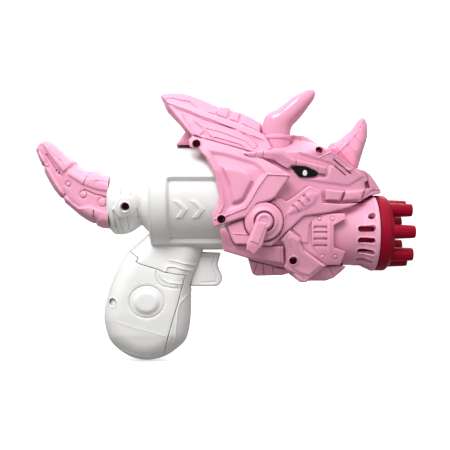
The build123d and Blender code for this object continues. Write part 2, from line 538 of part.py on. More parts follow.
idler_gear = idler_wheel + idler_small - rod_x(0.96, 120, 140, z=IDLER_Z)
pinion = pinion.rotate(muzzle_axis, 90)

# ---------------------------------------------------------------- nozzle head
RING_OUTER_R = 15.2
ring_teeth = gear(RING_GEAR_TEETH, 130, 140, internal=True).rotate(muzzle_axis, 90)
drum_gear = rod_x(RING_OUTER_R, DRUM_REAR_X, DRUM_REAR_X + 3) - ring_teeth
for index in range(3):
    spoke = box((DRUM_REAR_X, DRUM_REAR_X + 3), (14.4, DRUM_R - 1.2), (NOZZLE_AXIS_Z - 2, NOZZLE_AXIS_Z + 2))
    drum_gear = drum_gear + spoke.rotate(muzzle_axis, 120 * index)
DRUM_PROFILE = [(DRUM_REAR_X, DRUM_R - 1.6), (DRUM_REAR_X, DRUM_R), (LIP_X + 0.4, DRUM_R), (LIP_X + 0.4, 23.9),
                (LIP_X + 2.2, 23.9), (LIP_X + 2.2, DRUM_R - 1.6)]
nozzle_drum = turned(DRUM_PROFILE, NOZZLE_AXIS_Z) + drum_gear
RING_REAR_X = LIP_X + 0.4
RING_PROFILE = [(RING_REAR_X, 24.1), (RING_REAR_X, RING_R), (RING_FRONT_X - RING_CHAMFER, RING_R),
                (RING_FRONT_X, RING_R - RING_CHAMFER * 0.55), (RING_FRONT_X, 0), (RING_FRONT_X - 2.4, 0),
                (RING_FRONT_X - 2.4, 24.1)]
nozzle_ring = turned(RING_PROFILE, NOZZLE_AXIS_Z)
tubes = []
for index in range(NOZZLE_COUNT):
    angle = radians(180 - NOZZLE_TURN - index * 360 / NOZZLE_COUNT)
    tube_y = NOZZLE_PITCH_R * cos(angle)
    tube_z = NOZZLE_AXIS_Z + NOZZLE_PITCH_R * sin(angle)
    bore = rod_x(NOZZLE_BORE_R, RING_FRONT_X - 4, NOZZLE_TIP_X + 2, tube_y, tube_z)
    tube = rod_x(NOZZLE_R, RING_FRONT_X, NOZZLE_TIP_X, tube_y, tube_z)
    tube = chamfer(tube.edges().group_by(Axis.X)[-1], 0.8)
    tube = tube + rod_x(NOZZLE_BORE_R + 0.7, RING_FRONT_X - 2.4, RING_FRONT_X, tube_y, tube_z) - bore
    tubes.append(tube)
    nozzle_ring = nozzle_ring - rod_x(NOZZLE_BORE_R + 0.73, RING_FRONT_X - 4, RING_FRONT_X + 1, tube_y, tube_z)
nozzle_tubes = full(tubes)

# ---------------------------------------------------------------- wires
WIRE_R = 0.65


def wire(points):
    """Insulated lead along straight runs joined by the largest arcs that fit."""
    radii = []
    for before, here, after in zip(points, points[1:], points[2:]):
        first = Vector(*here) - Vector(*before)
        second = Vector(*after) - Vector(*here)
        turn = radians(first.get_angle(second))
        radii.append(0.45 * min(first.length, second.length) / tan(turn / 2))
    route = FilletPolyline(*points, radius=radii)
    section = Plane(origin=points[0], z_dir=Vector(*points[1]) - Vector(*points[0])) * Circle(WIRE_R)
    return sweep(section, path=route)


switch_lead = wire([(14.2, -2, 37.4), (8, -2.5, 37), (1, -5, 33), (-3, -5.5, 28.5)])
motor_lead = wire([(14.0, 2, 37.5), (9, 3.5, 39), (6, 8, 46), (20, 12, 54), (42, 12, 56), (62, 8, 53),
                   (79.2, 4, 50)])
return_lead = wire([(17, 9, 29), (17, 11, 37), (22, 12, 45), (42, 9, 49), (62, 0, 47), (79.2, -4, 44)])

# ---------------------------------------------------------------- screws
screws = []
for place_x, place_z, reach_y in SHELL_SCREWS + HEAD_SCREWS:
    screws.append(screw(place_x, place_z, -reach_y * 2 / 3, reach_y * 1.4))
for place_x, place_z in FRILL_SCREWS:
    face_y = -34.2 if place_z > 90 else -39
    screws.append(screw(place_x, place_z, face_y + 1.9, 2.0))
shell_screws = full(screws)
cover_screw = screw(*COVER_SCREW, -9.2, 5.5)

nodes = {
    "body_shell_right": body_right, "body_shell_left": body_left, "battery_cover": battery_cover,
    "cover_screw": cover_screw, "shell_screws": shell_screws, "trigger": trigger,
    "trigger_spring": trigger_spring, "trigger_switch": trigger_switch, "switch_leaf": switch_leaf,
    "battery_cells": battery_cells, "battery_tray": battery_tray, "contact_springs": contact_springs,
    "contact_plates": contact_plates, "tail_half_right": tail_half_right, "tail_half_left": tail_half_left,
    "head_shell_right": head_right, "head_shell_left": head_left, "crest": crest, "chin_guard": chin,
    "frill_wing_right": wing_right, "frill_plate_right": frill_right, "cheek_plate_right": cheek_right,
    "brow_plate_right": brow_right, "eye_right": eye_right, "jaw_guard_right": guard_right,
    "throat_cowl_right": cowl_right, "lever_boss_right": boss_right, "side_lever_right": lever_right,
    "brow_horn_right": horn_right, "horn_socket_right": horn_socket_right, "nose_horn": nose_horn,
    "muzzle_barrel": muzzle_barrel, "motor_can": motor_can, "motor_mount": motor_mount,
    "motor_shaft": motor_shaft, "fan": fan, "gear_plate": gear_plate, "idler_pin": idler_pin, "pinion": pinion,
    "idler_gear": idler_gear, "nozzle_drum": nozzle_drum, "nozzle_ring": nozzle_ring,
    "nozzle_tubes": nozzle_tubes, "switch_lead": switch_lead, "motor_lead": motor_lead,
    "return_lead": return_lead,
}
for name in list(nodes):
    if name.endswith("_right") and name.replace("_right", "_left") not in nodes:
        nodes[name.replace("_right", "_left")] = mirrored(nodes[name])

os.makedirs("parts", exist_ok=True)
for name, shape in nodes.items():
    export_step(shape, f"parts/{name}.step")
    print(name, len(shape.solids()), round(shape.volume))
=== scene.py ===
import json
import math

import bpy
import bmesh
import numpy as np
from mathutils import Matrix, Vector
from mathutils.geometry import delaunay_2d_cdt


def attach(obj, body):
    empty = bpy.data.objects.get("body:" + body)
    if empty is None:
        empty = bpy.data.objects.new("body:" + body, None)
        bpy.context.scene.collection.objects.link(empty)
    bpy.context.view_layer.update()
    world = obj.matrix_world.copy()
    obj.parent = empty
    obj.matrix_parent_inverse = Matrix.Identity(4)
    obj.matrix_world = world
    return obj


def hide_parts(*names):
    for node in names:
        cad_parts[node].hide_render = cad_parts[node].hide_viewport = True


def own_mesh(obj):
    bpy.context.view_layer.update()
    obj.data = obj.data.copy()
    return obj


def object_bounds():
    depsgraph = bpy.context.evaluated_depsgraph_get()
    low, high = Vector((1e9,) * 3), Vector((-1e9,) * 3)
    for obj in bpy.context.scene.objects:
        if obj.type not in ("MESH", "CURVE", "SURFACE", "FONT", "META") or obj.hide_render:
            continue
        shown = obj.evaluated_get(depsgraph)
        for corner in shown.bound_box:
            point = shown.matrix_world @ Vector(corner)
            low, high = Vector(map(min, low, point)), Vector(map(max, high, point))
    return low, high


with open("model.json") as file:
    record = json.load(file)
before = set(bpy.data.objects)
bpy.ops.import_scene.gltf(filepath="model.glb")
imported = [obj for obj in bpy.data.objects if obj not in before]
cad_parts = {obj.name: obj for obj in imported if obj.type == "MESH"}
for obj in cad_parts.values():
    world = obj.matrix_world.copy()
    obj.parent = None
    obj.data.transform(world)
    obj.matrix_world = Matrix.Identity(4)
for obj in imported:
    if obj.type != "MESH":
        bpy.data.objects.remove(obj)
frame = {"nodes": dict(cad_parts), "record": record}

CAD_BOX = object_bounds()
MM = 0.001
RIGHT, LEFT = -1.0, 1.0
SIDES = ((RIGHT, "right"), (LEFT, "left"))
SHARP = math.radians(32)
MERGE_TOP, MERGE_UNDER, THINNEST = 0.012, 0.001, 0.05
WELD, SLIVER = 2e-6, 1e-6
BEVEL_FROM, BEVEL_MORE = 0.65, 0.25
WALL = 2.2


# ---------------------------------------------------------------- flat geometry, in millimetres
def ccw(loop):
    """The loop turned the usual way round, so that its inside is on the left."""
    pts = [tuple(p[:2]) for p in loop]
    area = sum(a[0] * b[1] - b[0] * a[1] for a, b in zip(pts, pts[1:] + pts[:1]))
    return pts if area > 0 else pts[::-1]


def dense(line, step, closed=False):
    """The same line with points at most step apart."""
    ends = line[1:] + line[:1] if closed else line[1:]
    out = []
    for (x0, z0), (x1, z1) in zip(line, ends):
        count = max(1, math.ceil(math.hypot(x1 - x0, z1 - z0) / step))
        out += [(x0 + (x1 - x0) * i / count, z0 + (z1 - z0) * i / count) for i in range(count)]
    return out if closed else out + [tuple(line[-1])]


def gap(p, line, closed=False):
    """Distance from each point to a line."""
    a = np.array([q[:2] for q in line], float)
    b = np.roll(a, -1, 0) if closed else a[1:]
    a = a if closed else a[:-1]
    best = np.full(len(p), 1e9)
    for s, e in zip(a, b):
        d = e - s
        t = np.clip(((p - s) @ d) / (d @ d + 1e-12), 0, 1)
        best = np.minimum(best, np.hypot(*(p - s - t[:, None] * d).T))
    return best


def within(p, loop):
    """True where a point is inside the loop."""
    a = np.array([q[:2] for q in loop], float)
    b = np.roll(a, -1, 0)
    hit = np.zeros(len(p), bool)
    for (x0, z0), (x1, z1) in zip(a, b):
        if z0 == z1:
            continue
        crosses = (p[:, 1] >= min(z0, z1)) & (p[:, 1] < max(z0, z1))
        hit ^= crosses & (p[:, 0] < x0 + (p[:, 1] - z0) * (x1 - x0) / (z1 - z0))
    return hit


def depth(p, loop):
    """Distance inside the loop, negative outside."""
    return np.where(within(p, loop), 1.0, -1.0) * gap(p, loop, True)


def parallel(line, shift, closed=False):
    """The line moved to its left by shift, mitred at its corners."""
    a = np.array([q[:2] for q in line], float)
    d = np.roll(a, -1, 0) - a
    d /= np.maximum(np.hypot(*d.T)[:, None], 1e-9)
    n = np.stack([-d[:, 1], d[:, 0]], 1)
    before = np.roll(n, 1, 0)
    if not closed:
        n[-1] = n[-2]
        before[0] = n[0]
    m = n + before
    m /= np.maximum((m * n).sum(1)[:, None], 0.45)
    return [tuple(q) for q in a + shift * m]


def circle(x, z, radius, count=28, squash=1.0):
    return [(x + radius * math.cos(2 * math.pi * i / count),
             z + squash * radius * math.sin(2 * math.pi * i / count)) for i in range(count)]


def capsule(start, end, radius, count=8):
    """Stadium outline about a line."""
    (x0, z0), (x1, z1) = start, end
    lean = math.atan2(z1 - z0, x1 - x0)
    out = []
    for (cx, cz), turn in (((x1, z1), -math.pi / 2), ((x0, z0), math.pi / 2)):
        for i in range(count + 1):
            angle = lean + turn + math.pi * i / count
            out.append((cx + radius * math.cos(angle), cz + radius * math.sin(angle)))
    return out


def soft(t, r):
    """0 below 0 and t above it, rounded by r."""
    return np.where(t < -r, 0, np.where(t > r, t, (t + r) ** 2 / (4 * r)))


def ramp(t, a, b, r):
    """Climbs from 0 at a to 1 at b, rounded by r at both ends."""
    return (soft(t - a, r) - soft(t - b, r)) / (b - a)


# ---------------------------------------------------------------- details that lift or sink a face
class Detail:
    """lift(points) in mm, and the rows that its edges need."""

    def __init__(self, lift, rows):
        self.lift = lift
        self.rows = rows


def rows_of(details):
    """All the rows that the edges of the details need."""
    return [row for d in details for row in d.rows]


def lifted(base, details, share=lambda p: 1):
    """A skin with its details, which may fade out by a share."""
    return lambda p: base(p) + share(p) * sum(d.lift(p) for d in details)


def at_least(skin, low):
    return lambda p: np.maximum(skin(p), low)


def level(height):
    return lambda p: np.full(len(p), height)


def pad(loop, rise, slope=0.9, r=0.22):
    """Raised or sunken area with sloped, rounded sides that lie inside the loop."""
    loop = ccw(loop)
    rows = [(parallel(loop, d, True), True) for d in (-r, 0, r, slope - r, slope, slope + r)]
    return Detail(lambda p: rise * ramp(depth(p, loop), 0, slope, r), rows)


def disc(x, z, radius, rise, slope=0.5, r=0.15, count=28):
    levels = (radius + r, radius, radius - slope, radius - slope - r)
    return Detail(lambda p: rise * ramp(radius - np.hypot(p[:, 0] - x, p[:, 1] - z), 0, slope, r),
                  [(circle(x, z, q, count), True) for q in levels if q > 0.2])


def dome(x, z, radius, rise):
    def lift(p):
        q = np.clip(np.hypot(p[:, 0] - x, p[:, 1] - z) / radius, 0, 1)
        return rise * np.sqrt(1 - q * q)
    return Detail(lift, [(circle(x, z, radius * q, 16), True) for q in (1, 0.93, 0.75, 0.45)])


def groove(line, width, deep, closed=False):
    """Sunken line; a negative depth makes a raised bead."""
    half, r = width / 2, 0.18
    inner = half * 0.35
    levels = (inner, half - r / 2, half + r)
    rows = [(parallel(line, s * d, closed), closed) for s in (-1, 1) for d in levels]
    rows.append((list(line), closed))
    return Detail(lambda p: -deep * (1 - ramp(gap(p, line, closed), inner, half, r)), rows)


def well(place, collar_r, rise, slope, bore_r, deep):
    """Screw well with a raised collar."""
    return [disc(*place, collar_r, rise, slope), disc(*place, bore_r, -deep, 0.3)]


def rim(loop, r):
    """Rounds the edge of a face."""
    loop = ccw(loop)

    def lift(p):
        d = np.clip(depth(p, loop), 0, r)
        return np.sqrt(np.maximum(r * r - (r - d) ** 2, 0)) - r
    return Detail(lift, [(parallel(loop, r * q, True), True) for q in (0.08, 0.3, 0.62, 1.0)])


def chamfer(loop, r):
    """Bevels the edge of a face, with both corners of the bevel softened."""
    loop = ccw(loop)

    def lift(p):
        d = depth(p, loop)
        return -0.8 * soft(r - d, 0.16) - soft(0.22 - d, 0.1)
    levels = (0.1, 0.26, 0.5 * r + 0.1, r - 0.16, r, r + 0.16)
    return Detail(lift, [(parallel(loop, q, True), True) for q in levels])


# ---------------------------------------------------------------- closed pieces
def triangles(loops, lines, grid_step, keep_near, spread=0.55):
    """Delaunay triangles inside loops[0] and outside the other loops."""
    pts, edges = [], []
    for line, closed in lines:
        start, count = len(pts), len(line)
        pts += line
        edges += [(start + i, start + (i + 1) % count) for i in range(count if closed else count - 1)]
    taken = np.array(pts)
    (x0, z0), (x1, z1) = np.array(loops[0]).min(0), np.array(loops[0]).max(0)
    gx, gz = np.meshgrid(np.arange(x0, x1, grid_step), np.arange(z0, z1, grid_step * 0.87))
    gx = gx + (np.arange(len(gz)) % 2)[:, None] * grid_step / 2
    grid = np.stack([gx.ravel(), gz.ravel()], 1)
    grid = grid[within(grid, loops[0])] if len(grid) else grid
    clear = np.full(len(grid), True)
    for block in range(0, len(taken), 400):
        part = taken[block:block + 400]
        near = np.hypot(grid[:, None, 0] - part[None, :, 0], grid[:, None, 1] - part[None, :, 1]).min(1)
        clear &= near > spread * grid_step
    grid = grid[clear]
    pts += [tuple(g) for g in grid]
    result = delaunay_2d_cdt([Vector(q) for q in pts], edges, [], 0, keep_near)
    xy = np.array([tuple(v) for v in result[0]])
    tris = np.array([t for t in result[2] if len(t) == 3])
    centre = xy[tris].mean(1)
    inside = within(centre, loops[0])
    for hole in loops[1:]:
        inside &= ~within(centre, hole)
    a, b, c = (xy[tris[:, i]] for i in range(3))
    area = 0.5 * ((b - a)[:, 0] * (c - a)[:, 1] - (b - a)[:, 1] * (c - a)[:, 0])
    tris[area < 0] = tris[area < 0][:, ::-1]
    return xy, tris[inside & (np.abs(area) > 1e-9)], result[3]


def rim_edges(tris):
    """Directed edges that only one triangle uses."""
    seen = dict.fromkeys((int(t[i]), int(t[(i + 1) % 3])) for t in tris for i in range(3))
    return [e for e in seen if (e[1], e[0]) not in seen]


def panel(loop, top, bottom, rows=(), holes=(), step=1.8, under=4.5, twin=False, open_side=None):
    """Closed solid between two height fields: vertices (u, v, height) and faces."""
    loop = dense(ccw(loop), step, True)
    holes = [dense(ccw(h), step, True) for h in holes]
    loops = [loop] + holes
    lines = [(line, True) for line in loops]
    for line, closed in rows:
        lines.append((dense([tuple(q[:2]) for q in line], step, closed), closed))
    low, high = np.array(loop).min(0) - 0.01, np.array(loop).max(0) + 0.01

    def reaches(line):
        """True unless the whole line lies past one end of the loop."""
        line = np.array(line)
        return (line < high).all(1).any() and (line > low).all(1).any()
    lines = [line for line in lines if reaches(line[0])]
    xy, tris, _ = triangles(loops, lines, step, MERGE_TOP)
    edges = rim_edges(tris)
    used = np.unique(tris)
    renum = {int(v): i for i, v in enumerate(used)}
    xy = xy[used]
    tris = [[renum[int(v)] for v in t] for t in tris]
    edges = [(renum[a], renum[b]) for a, b in edges]
    high_z = top(xy)
    verts = [(x, z, h) for (x, z), h in zip(xy, high_z)]
    faces = list(tris)
    walls = [e for e in edges if not (open_side and open_side(xy[e[0]], xy[e[1]]))]
    if twin:
        base = len(verts)
        verts += [(x, z, -h) for (x, z), h in zip(xy, high_z)]
        faces += [[base + v for v in reversed(t)] for t in tris]
        faces += [[b, a, base + a, base + b] for a, b in walls]
        return verts, faces
    border = sorted({v for e in edges for v in e})
    place = {v: i for i, v in enumerate(border)}
    ring = [tuple(xy[v]) for v in border]
    outline = [([ring[place[a]], ring[place[b]]], False) for a, b in edges]
    low_xy, low_tris, origin = triangles(loops, outline, under, MERGE_UNDER, 0.5)
    low_z = np.minimum(bottom(low_xy), top(low_xy) - THINNEST)
    base = len(verts)
    verts += [(x, z, h) for (x, z), h in zip(low_xy, low_z)]
    faces += [[base + int(v) for v in reversed(t)] for t in low_tris]
    source = {}
    for out, olds in enumerate(origin):
        for old in olds:
            source[old] = out
    flat_index = {}
    for k, (a, b) in enumerate(edges):
        flat_index[a] = base + source[2 * k]
        flat_index[b] = base + source[2 * k + 1]
    faces += [[b, a, flat_index[a], flat_index[b]] for a, b in walls]
    return verts, faces


def side_on(side):
    """Puts (x, z, height) on one side of the toy: height is the distance from its mid-plane."""
    return lambda u, v, h: (u, side * h, v)


def build(name, verts, faces, place, flip, body, node, slot, sharp=SHARP):
    """A piece of the picture's model, in millimetres, that takes the place of a CAD node."""
    mesh = bpy.data.meshes.new(name)
    coords = [[c * MM for c in place(*v)] for v in verts]
    mesh.from_pydata(coords, [], [list(reversed(f)) if flip else f for f in faces])
    work = bmesh.new()
    work.from_mesh(mesh)
    bmesh.ops.remove_doubles(work, verts=work.verts, dist=WELD)
    bmesh.ops.dissolve_degenerate(work, edges=work.edges, dist=SLIVER)
    loose = [v for v in work.verts if not v.link_faces]
    bmesh.ops.delete(work, geom=loose, context="VERTS")
    work.to_mesh(mesh)
    work.free()
    mesh.shade_smooth()
    mesh.set_sharp_from_angle(angle=sharp)
    piece = bpy.data.objects.new(name, mesh)
    bpy.context.scene.collection.objects.link(piece)
    mesh.materials.append(MATERIALS[slot])
    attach(piece, body)
    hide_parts(node)
    return piece


def both(name, shape, node, slot, place=side_on, body="root"):
    """The same shape on both sides of the toy; SIDE in the node's name is the side."""
    for side, label in SIDES:
        build(f"{name}_{label}", *shape, place(side), side == LEFT, body, node.replace("SIDE", label), slot)


def side_piece(name, loop, base, details, node, slot="pink_shell", wall=WALL, radius=0.6, step=1.8,
               floor=None):
    """Moulded plate on the right side, and its mirror image on the left."""
    bevelled = slot == "pink_shell" and radius >= BEVEL_FROM
    details = list(details) + [chamfer(loop, radius + BEVEL_MORE) if bevelled else rim(loop, radius)]
    under = floor or (lambda p: base(p) - wall)
    both(name, panel(loop, lifted(base, details), under, rows_of(details), step=step), node, slot)


def twin_piece(name, loop, base, details, node, radius, step):
    """Pink solid that spans the mid-plane, the same on both sides."""
    details = list(details) + [chamfer(loop, radius)]
    shape = panel(loop, at_least(lifted(base, details), 0.15), None, rows_of(details), step=step, twin=True)
    build(name, *shape, side_on(RIGHT), False, "root", node, "pink_shell")


def lathe(profile, axis_z, axis_y=0.0, count=96, wave=None):
    """Closed ring of (x, radius) points turned about a line along X."""
    verts, faces = [], []
    rows = len(profile)
    for i in range(count):
        angle = 2 * math.pi * i / count
        for x, r in profile:
            q = r * (wave(x, r, angle) if wave else 1.0)
            verts.append((x, axis_y + q * math.cos(angle), axis_z + q * math.sin(angle)))
    for i in range(count):
        for j in range(rows):
            a, b = i * rows + j, i * rows + (j + 1) % rows
            c, d = ((i + 1) % count) * rows + (j + 1) % rows, ((i + 1) % count) * rows + j
            faces.append([a, b, c, d])
    return verts, faces


def as_is(x, y, z):
    return (x, y, z)


def arcs(corners, count=3):
    """Profile with each (x, r, radius) corner rounded."""
    out = []
    total = len(corners)
    for i, (x, y, radius) in enumerate(corners):
        here = np.array([x, y], float)
        if not radius:
            out.append((x, y))
            continue
        before = np.array(corners[i - 1][:2], float) - here
        after = np.array(corners[(i + 1) % total][:2], float) - here
        la, lb = np.linalg.norm(before), np.linalg.norm(after)
        cut = min(radius, 0.45 * la, 0.45 * lb)
        a, b = here + before / la * cut, here + after / lb * cut
        for k in range(count + 1):
            t = k / count
            q = (1 - t) ** 2 * a + 2 * t * (1 - t) * here + t * t * b
            out.append(tuple(q))
    return out


# ---------------------------------------------------------------- finishes
def ranged(tree, source, low, high, to_low, to_high):
    """Maps low..high of a socket to to_low..to_high, and gives the new socket."""
    node = tree.nodes.new("ShaderNodeMapRange")
    for name, value in (("From Min", low), ("From Max", high), ("To Min", to_low), ("To Max", to_high)):
        node.inputs[name].default_value = value
    tree.links.new(source, node.inputs["Value"])
    return node.outputs[0]


def tinted(tree, factor, colour, source):
    """Blends a colour over a socket, and gives the new socket."""
    node = tree.nodes.new("ShaderNodeMix")
    node.data_type = "RGBA"
    node.inputs["B"].default_value = (*colour, 1)
    tree.links.new(factor, node.inputs["Factor"])
    tree.links.new(source, node.inputs["A"])
    return node.outputs["Result"]


def noise(tree, coord, scale, detail):
    node = tree.nodes.new("ShaderNodeTexNoise")
    node.inputs["Scale"].default_value = scale
    node.inputs["Detail"].default_value = detail
    tree.links.new(coord.outputs["Object"], node.inputs["Vector"])
    return node.outputs["Fac"]


def plastic(name, base, shade, rough, bump=0.00004, coat=0.0, metal=0.0, painted_gap_shade=0.8, gap_shade_colour=None, shine=0.4,
            painted_edge_highlight=0.6):
    """Moulded surface: cloudy colour, fine grain, uneven gloss, painted shade in gaps and hollows, and
    painted highlights on convex edges.
    """
    # The gap colour is the colour of painted shade, laid in gaps, creases and hollows.
    gap_shade_colour = gap_shade_colour or tuple(0.25 * c for c in base)
    # The edge colour is a painted highlight, a lighter version of the base for convex edges.
    edge_highlight_colour = tuple(c + 0.75 * (0.95 - c) * painted_edge_highlight for c in base)
    mat = bpy.data.materials.new(name)
    mat.use_nodes = True
    tree = mat.node_tree
    tree.nodes.clear()
    add, link = tree.nodes.new, tree.links.new
    out, skin = add("ShaderNodeOutputMaterial"), add("ShaderNodeBsdfPrincipled")
    link(skin.outputs[0], out.inputs[0])
    coord = add("ShaderNodeTexCoord")
    cloud = noise(tree, coord, 42.0, 5.0)
    tint = add("ShaderNodeValToRGB")
    for stop, position, colour in zip(tint.color_ramp.elements, (0.34, 0.62), (shade, base)):
        stop.position = position
        stop.color = (*colour, 1)
    link(cloud, tint.inputs[0])
    # Ambient occlusion within 2.8 mm, used to paint shade into gaps and recesses.
    near = add("ShaderNodeAmbientOcclusion")
    near.samples = 8
    near.inputs["Distance"].default_value = 0.0028
    shape = add("ShaderNodeNewGeometry").outputs["Pointiness"]
    # Painted shade: darker colour where ambient occlusion finds a nearby surface.
    colour = tinted(tree, ranged(tree, near.outputs["AO"], 0.25, 0.85, painted_gap_shade, 0.0), gap_shade_colour,
                    tint.outputs[0])
    # Painted highlight: lighter colour on convex edges, found from pointiness.
    colour = tinted(tree, ranged(tree, shape, 0.515, 0.60, 0.0, 0.45), edge_highlight_colour, colour)
    # Painted shade: darker colour in concave creases, found from pointiness.
    colour = tinted(tree, ranged(tree, shape, 0.485, 0.40, 0.0, 0.6), gap_shade_colour, colour)
    link(colour, skin.inputs["Base Color"])
    link(ranged(tree, cloud, 0.0, 1.0, rough - 0.05, rough + 0.09), skin.inputs["Roughness"])
    relief = add("ShaderNodeBump")
    relief.inputs["Strength"].default_value = 0.5
    relief.inputs["Distance"].default_value = bump
    link(noise(tree, coord, 1400.0, 3.0), relief.inputs["Height"])
    link(relief.outputs[0], skin.inputs["Normal"])
    for socket, value in (("Specular IOR Level", shine), ("Coat Weight", coat), ("Coat Roughness", 0.12),
                          ("Metallic", metal)):
        skin.inputs[socket].default_value = value
    return mat


def banded(name, base, shade, spacing, rough, metal=0.0):
    """Finish with soft bands along Z: brushed metal or a printed sleeve."""
    # Strong painted shade in gaps and hollows, in a near-black colour.
    mat = plastic(name, base, shade, rough, metal=metal, painted_gap_shade=0.95, gap_shade_colour=(0.02, 0.004, 0.005))
    tree = mat.node_tree
    skin = next(n for n in tree.nodes if n.type == "BSDF_PRINCIPLED")
    coord = next(n for n in tree.nodes if n.type == "TEX_COORD")
    wave = tree.nodes.new("ShaderNodeTexWave")
    wave.bands_direction = "Z"
    for socket, value in (("Scale", spacing), ("Distortion", 3.0), ("Detail", 3.0)):
        wave.inputs[socket].default_value = value
    tree.links.new(coord.outputs["Object"], wave.inputs["Vector"])
    mix = tree.nodes.new("ShaderNodeMix")
    mix.data_type = "RGBA"
    mix.blend_type = "MULTIPLY"
    mix.inputs["Factor"].default_value = 0.35
    tree.links.new(skin.inputs["Base Color"].links[0].from_socket, mix.inputs["A"])
    tree.links.new(wave.outputs["Color"], mix.inputs["B"])
    tree.links.new(mix.outputs["Result"], skin.inputs["Base Color"])
    return mat


# In each finish below, the gap colour is painted shade laid in gaps and hollows; the edge setting is a
# painted highlight on convex edges.
FINISHES = {
    "white_shell": dict(base=(0.88, 0.88, 0.865), shade=(0.85, 0.85, 0.835), rough=0.36,
                        gap_shade_colour=(0.22, 0.16, 0.14)),
    "pink_shell": dict(base=(0.86, 0.375, 0.53), shade=(0.835, 0.35, 0.505), rough=0.42,
                       gap_shade_colour=(0.16, 0.006, 0.02)),
    "horn_pink": dict(base=(0.85, 0.355, 0.51), shade=(0.82, 0.33, 0.485), rough=0.2, coat=0.4,
                      bump=0.00001, gap_shade_colour=(0.3, 0.02, 0.06)),
    "crimson_plastic": dict(base=(0.33, 0.0015, 0.022), shade=(0.29, 0.0015, 0.018), rough=0.38, shine=0.12,
                            painted_edge_highlight=0.12, bump=0.00002, gap_shade_colour=(0.06, 0.0, 0.004)),
    "eye_black": dict(base=(0.006, 0.006, 0.006), shade=(0.01, 0.01, 0.01), rough=0.2, shine=0.1, painted_edge_highlight=0.0,
                      bump=0.00001),
    "dark_plastic": dict(base=(0.035, 0.035, 0.04), shade=(0.05, 0.05, 0.055), rough=0.5, bump=0.00008),
    "wire_cover": dict(base=(0.5, 0.02, 0.02), shade=(0.4, 0.015, 0.015), rough=0.45),
}
MATERIALS = {name: plastic(name, **finish) for name, finish in FINISHES.items()}
MATERIALS["steel"] = banded("steel", (0.62, 0.63, 0.65), (0.5, 0.51, 0.53), 900.0, 0.28, 1.0)
MATERIALS["cell_jacket"] = banded("cell_jacket", (0.02, 0.16, 0.10), (0.015, 0.12, 0.08), 30.0, 0.3)
# Painted shade: dark red for the screws, standing in for the shadow at the bottom of deep screw wells.
well_shade_screw = plastic("well_shade_screw", (0.085, 0.003, 0.009), (0.05, 0.002, 0.005), 0.45, shine=0.2, painted_edge_highlight=0.0)
# Painted highlight: white for the spot on the eye that stands in for a reflection of the light.
eye_highlight_white = plastic("eye_highlight_white", (0.85, 0.85, 0.84), (0.8, 0.8, 0.79), 0.25, painted_gap_shade=0.1)

for row in frame["record"]["subparts"]:
    node = frame["nodes"][row["node"]]
    node.data.materials.clear()
    node.data.materials.append(MATERIALS[row["material_slot"]])


# ---------------------------------------------------------------- skins shared by several pieces
def across(table):
    """Half width by height, from (half width, z) pairs."""
    pairs = sorted((z, w) for w, z in table)
    return lambda p: np.interp(p[:, 1], [q[0] for q in pairs], [q[1] for q in pairs])


def least(a, b, soft_by=0.6):
    """The smaller of two heights, with the crossing rounded."""
    return -soft_by * np.logaddexp(-a / soft_by, -b / soft_by)


PLAN_X = [58, 84, 96, 122, 145, 158, 165]
PLAN_W = [34, 34, 30, 24.5, 17, 10, 7]
front_skin = across([(20, 22), (27, 34), (33, 48), (34, 62), (34, 90), (30.5, 100), (20, 105.5), (4, 113)])


def plan_skin(p):
    return np.interp(p[:, 0], PLAN_X, PLAN_W)


def head_skin(p):
    return least(plan_skin(p), front_skin(p))


def raised(base, lift):
    return lambda p: base(p) + lift


def closed_at(loop, base):
    """Inner surface that runs to the mid-plane along the outline, so that both halves meet."""
    return lambda p: np.where(depth(p, ccw(loop)) < WALL, 0.0, np.maximum(base(p) - WALL, 0.0))


def softened(profile, shift):
    """Height along X, with the corners rounded by an average over five shifts."""
    xs, heights = [q[0] for q in profile], [q[1] for q in profile]

    def height(p):
        total = 0
        for k in (-2, -1, 0, 1, 2):
            total = total + np.interp(p[:, 0] + k * shift, xs, heights)
        return total / 5
    return height


def swell(line, half, radius, closed=False):
    """Pillow shape: half width times a quarter-round that starts at the line."""
    def height(p):
        t = np.clip(gap(p, line, closed) / radius, 0, 1)
        return half(p) * np.sqrt(np.maximum(1 - (1 - t) ** 2, 0))
    return height


def swell_rows(line, radius, closed=False):
    shares = (0.004, 0.02, 0.06, 0.13, 0.24, 0.4, 0.62, 0.85)
    return [(parallel(line, radius * q, closed), closed) for q in shares]


# ---------------------------------------------------------------- white body: barrel, collar, grip
BARREL_R, BARREL_Z = 35.7, 71.0
COLLAR_Z = 68.2
HALF_TURN = math.pi / 2
COLLAR_SCREW, HEAD_SCREW, JAW_SCREW = (-13.1, 64.6), (116.5, 102), (98.9, 29)
UPPER_FRILL_SCREW, LOWER_FRILL_SCREW = (35.2, 105.5), (51.6, 56.2)


def wrapped(x, z):
    """A point seen from the side, laid on the unrolled barrel."""
    return (x, BARREL_R * math.asin(max(-1.0, min(1.0, (z - BARREL_Z) / BARREL_R))))


def unrolled(start, end, radius):
    """Half of a cylinder's wall, laid flat."""
    half = radius * HALF_TURN
    return [(start, -half), (end, -half), (end, half), (start, half)]


def round_about(centre, radius):
    """Puts (x, arc length, height) on a cylinder along X."""
    def on(side):
        return lambda u, v, h: (u, side * h * math.cos(v / radius), centre + h * math.sin(v / radius))
    return on


def rounded(loop, radius):
    return arcs([(x, z, radius) for x, z in loop], 4)


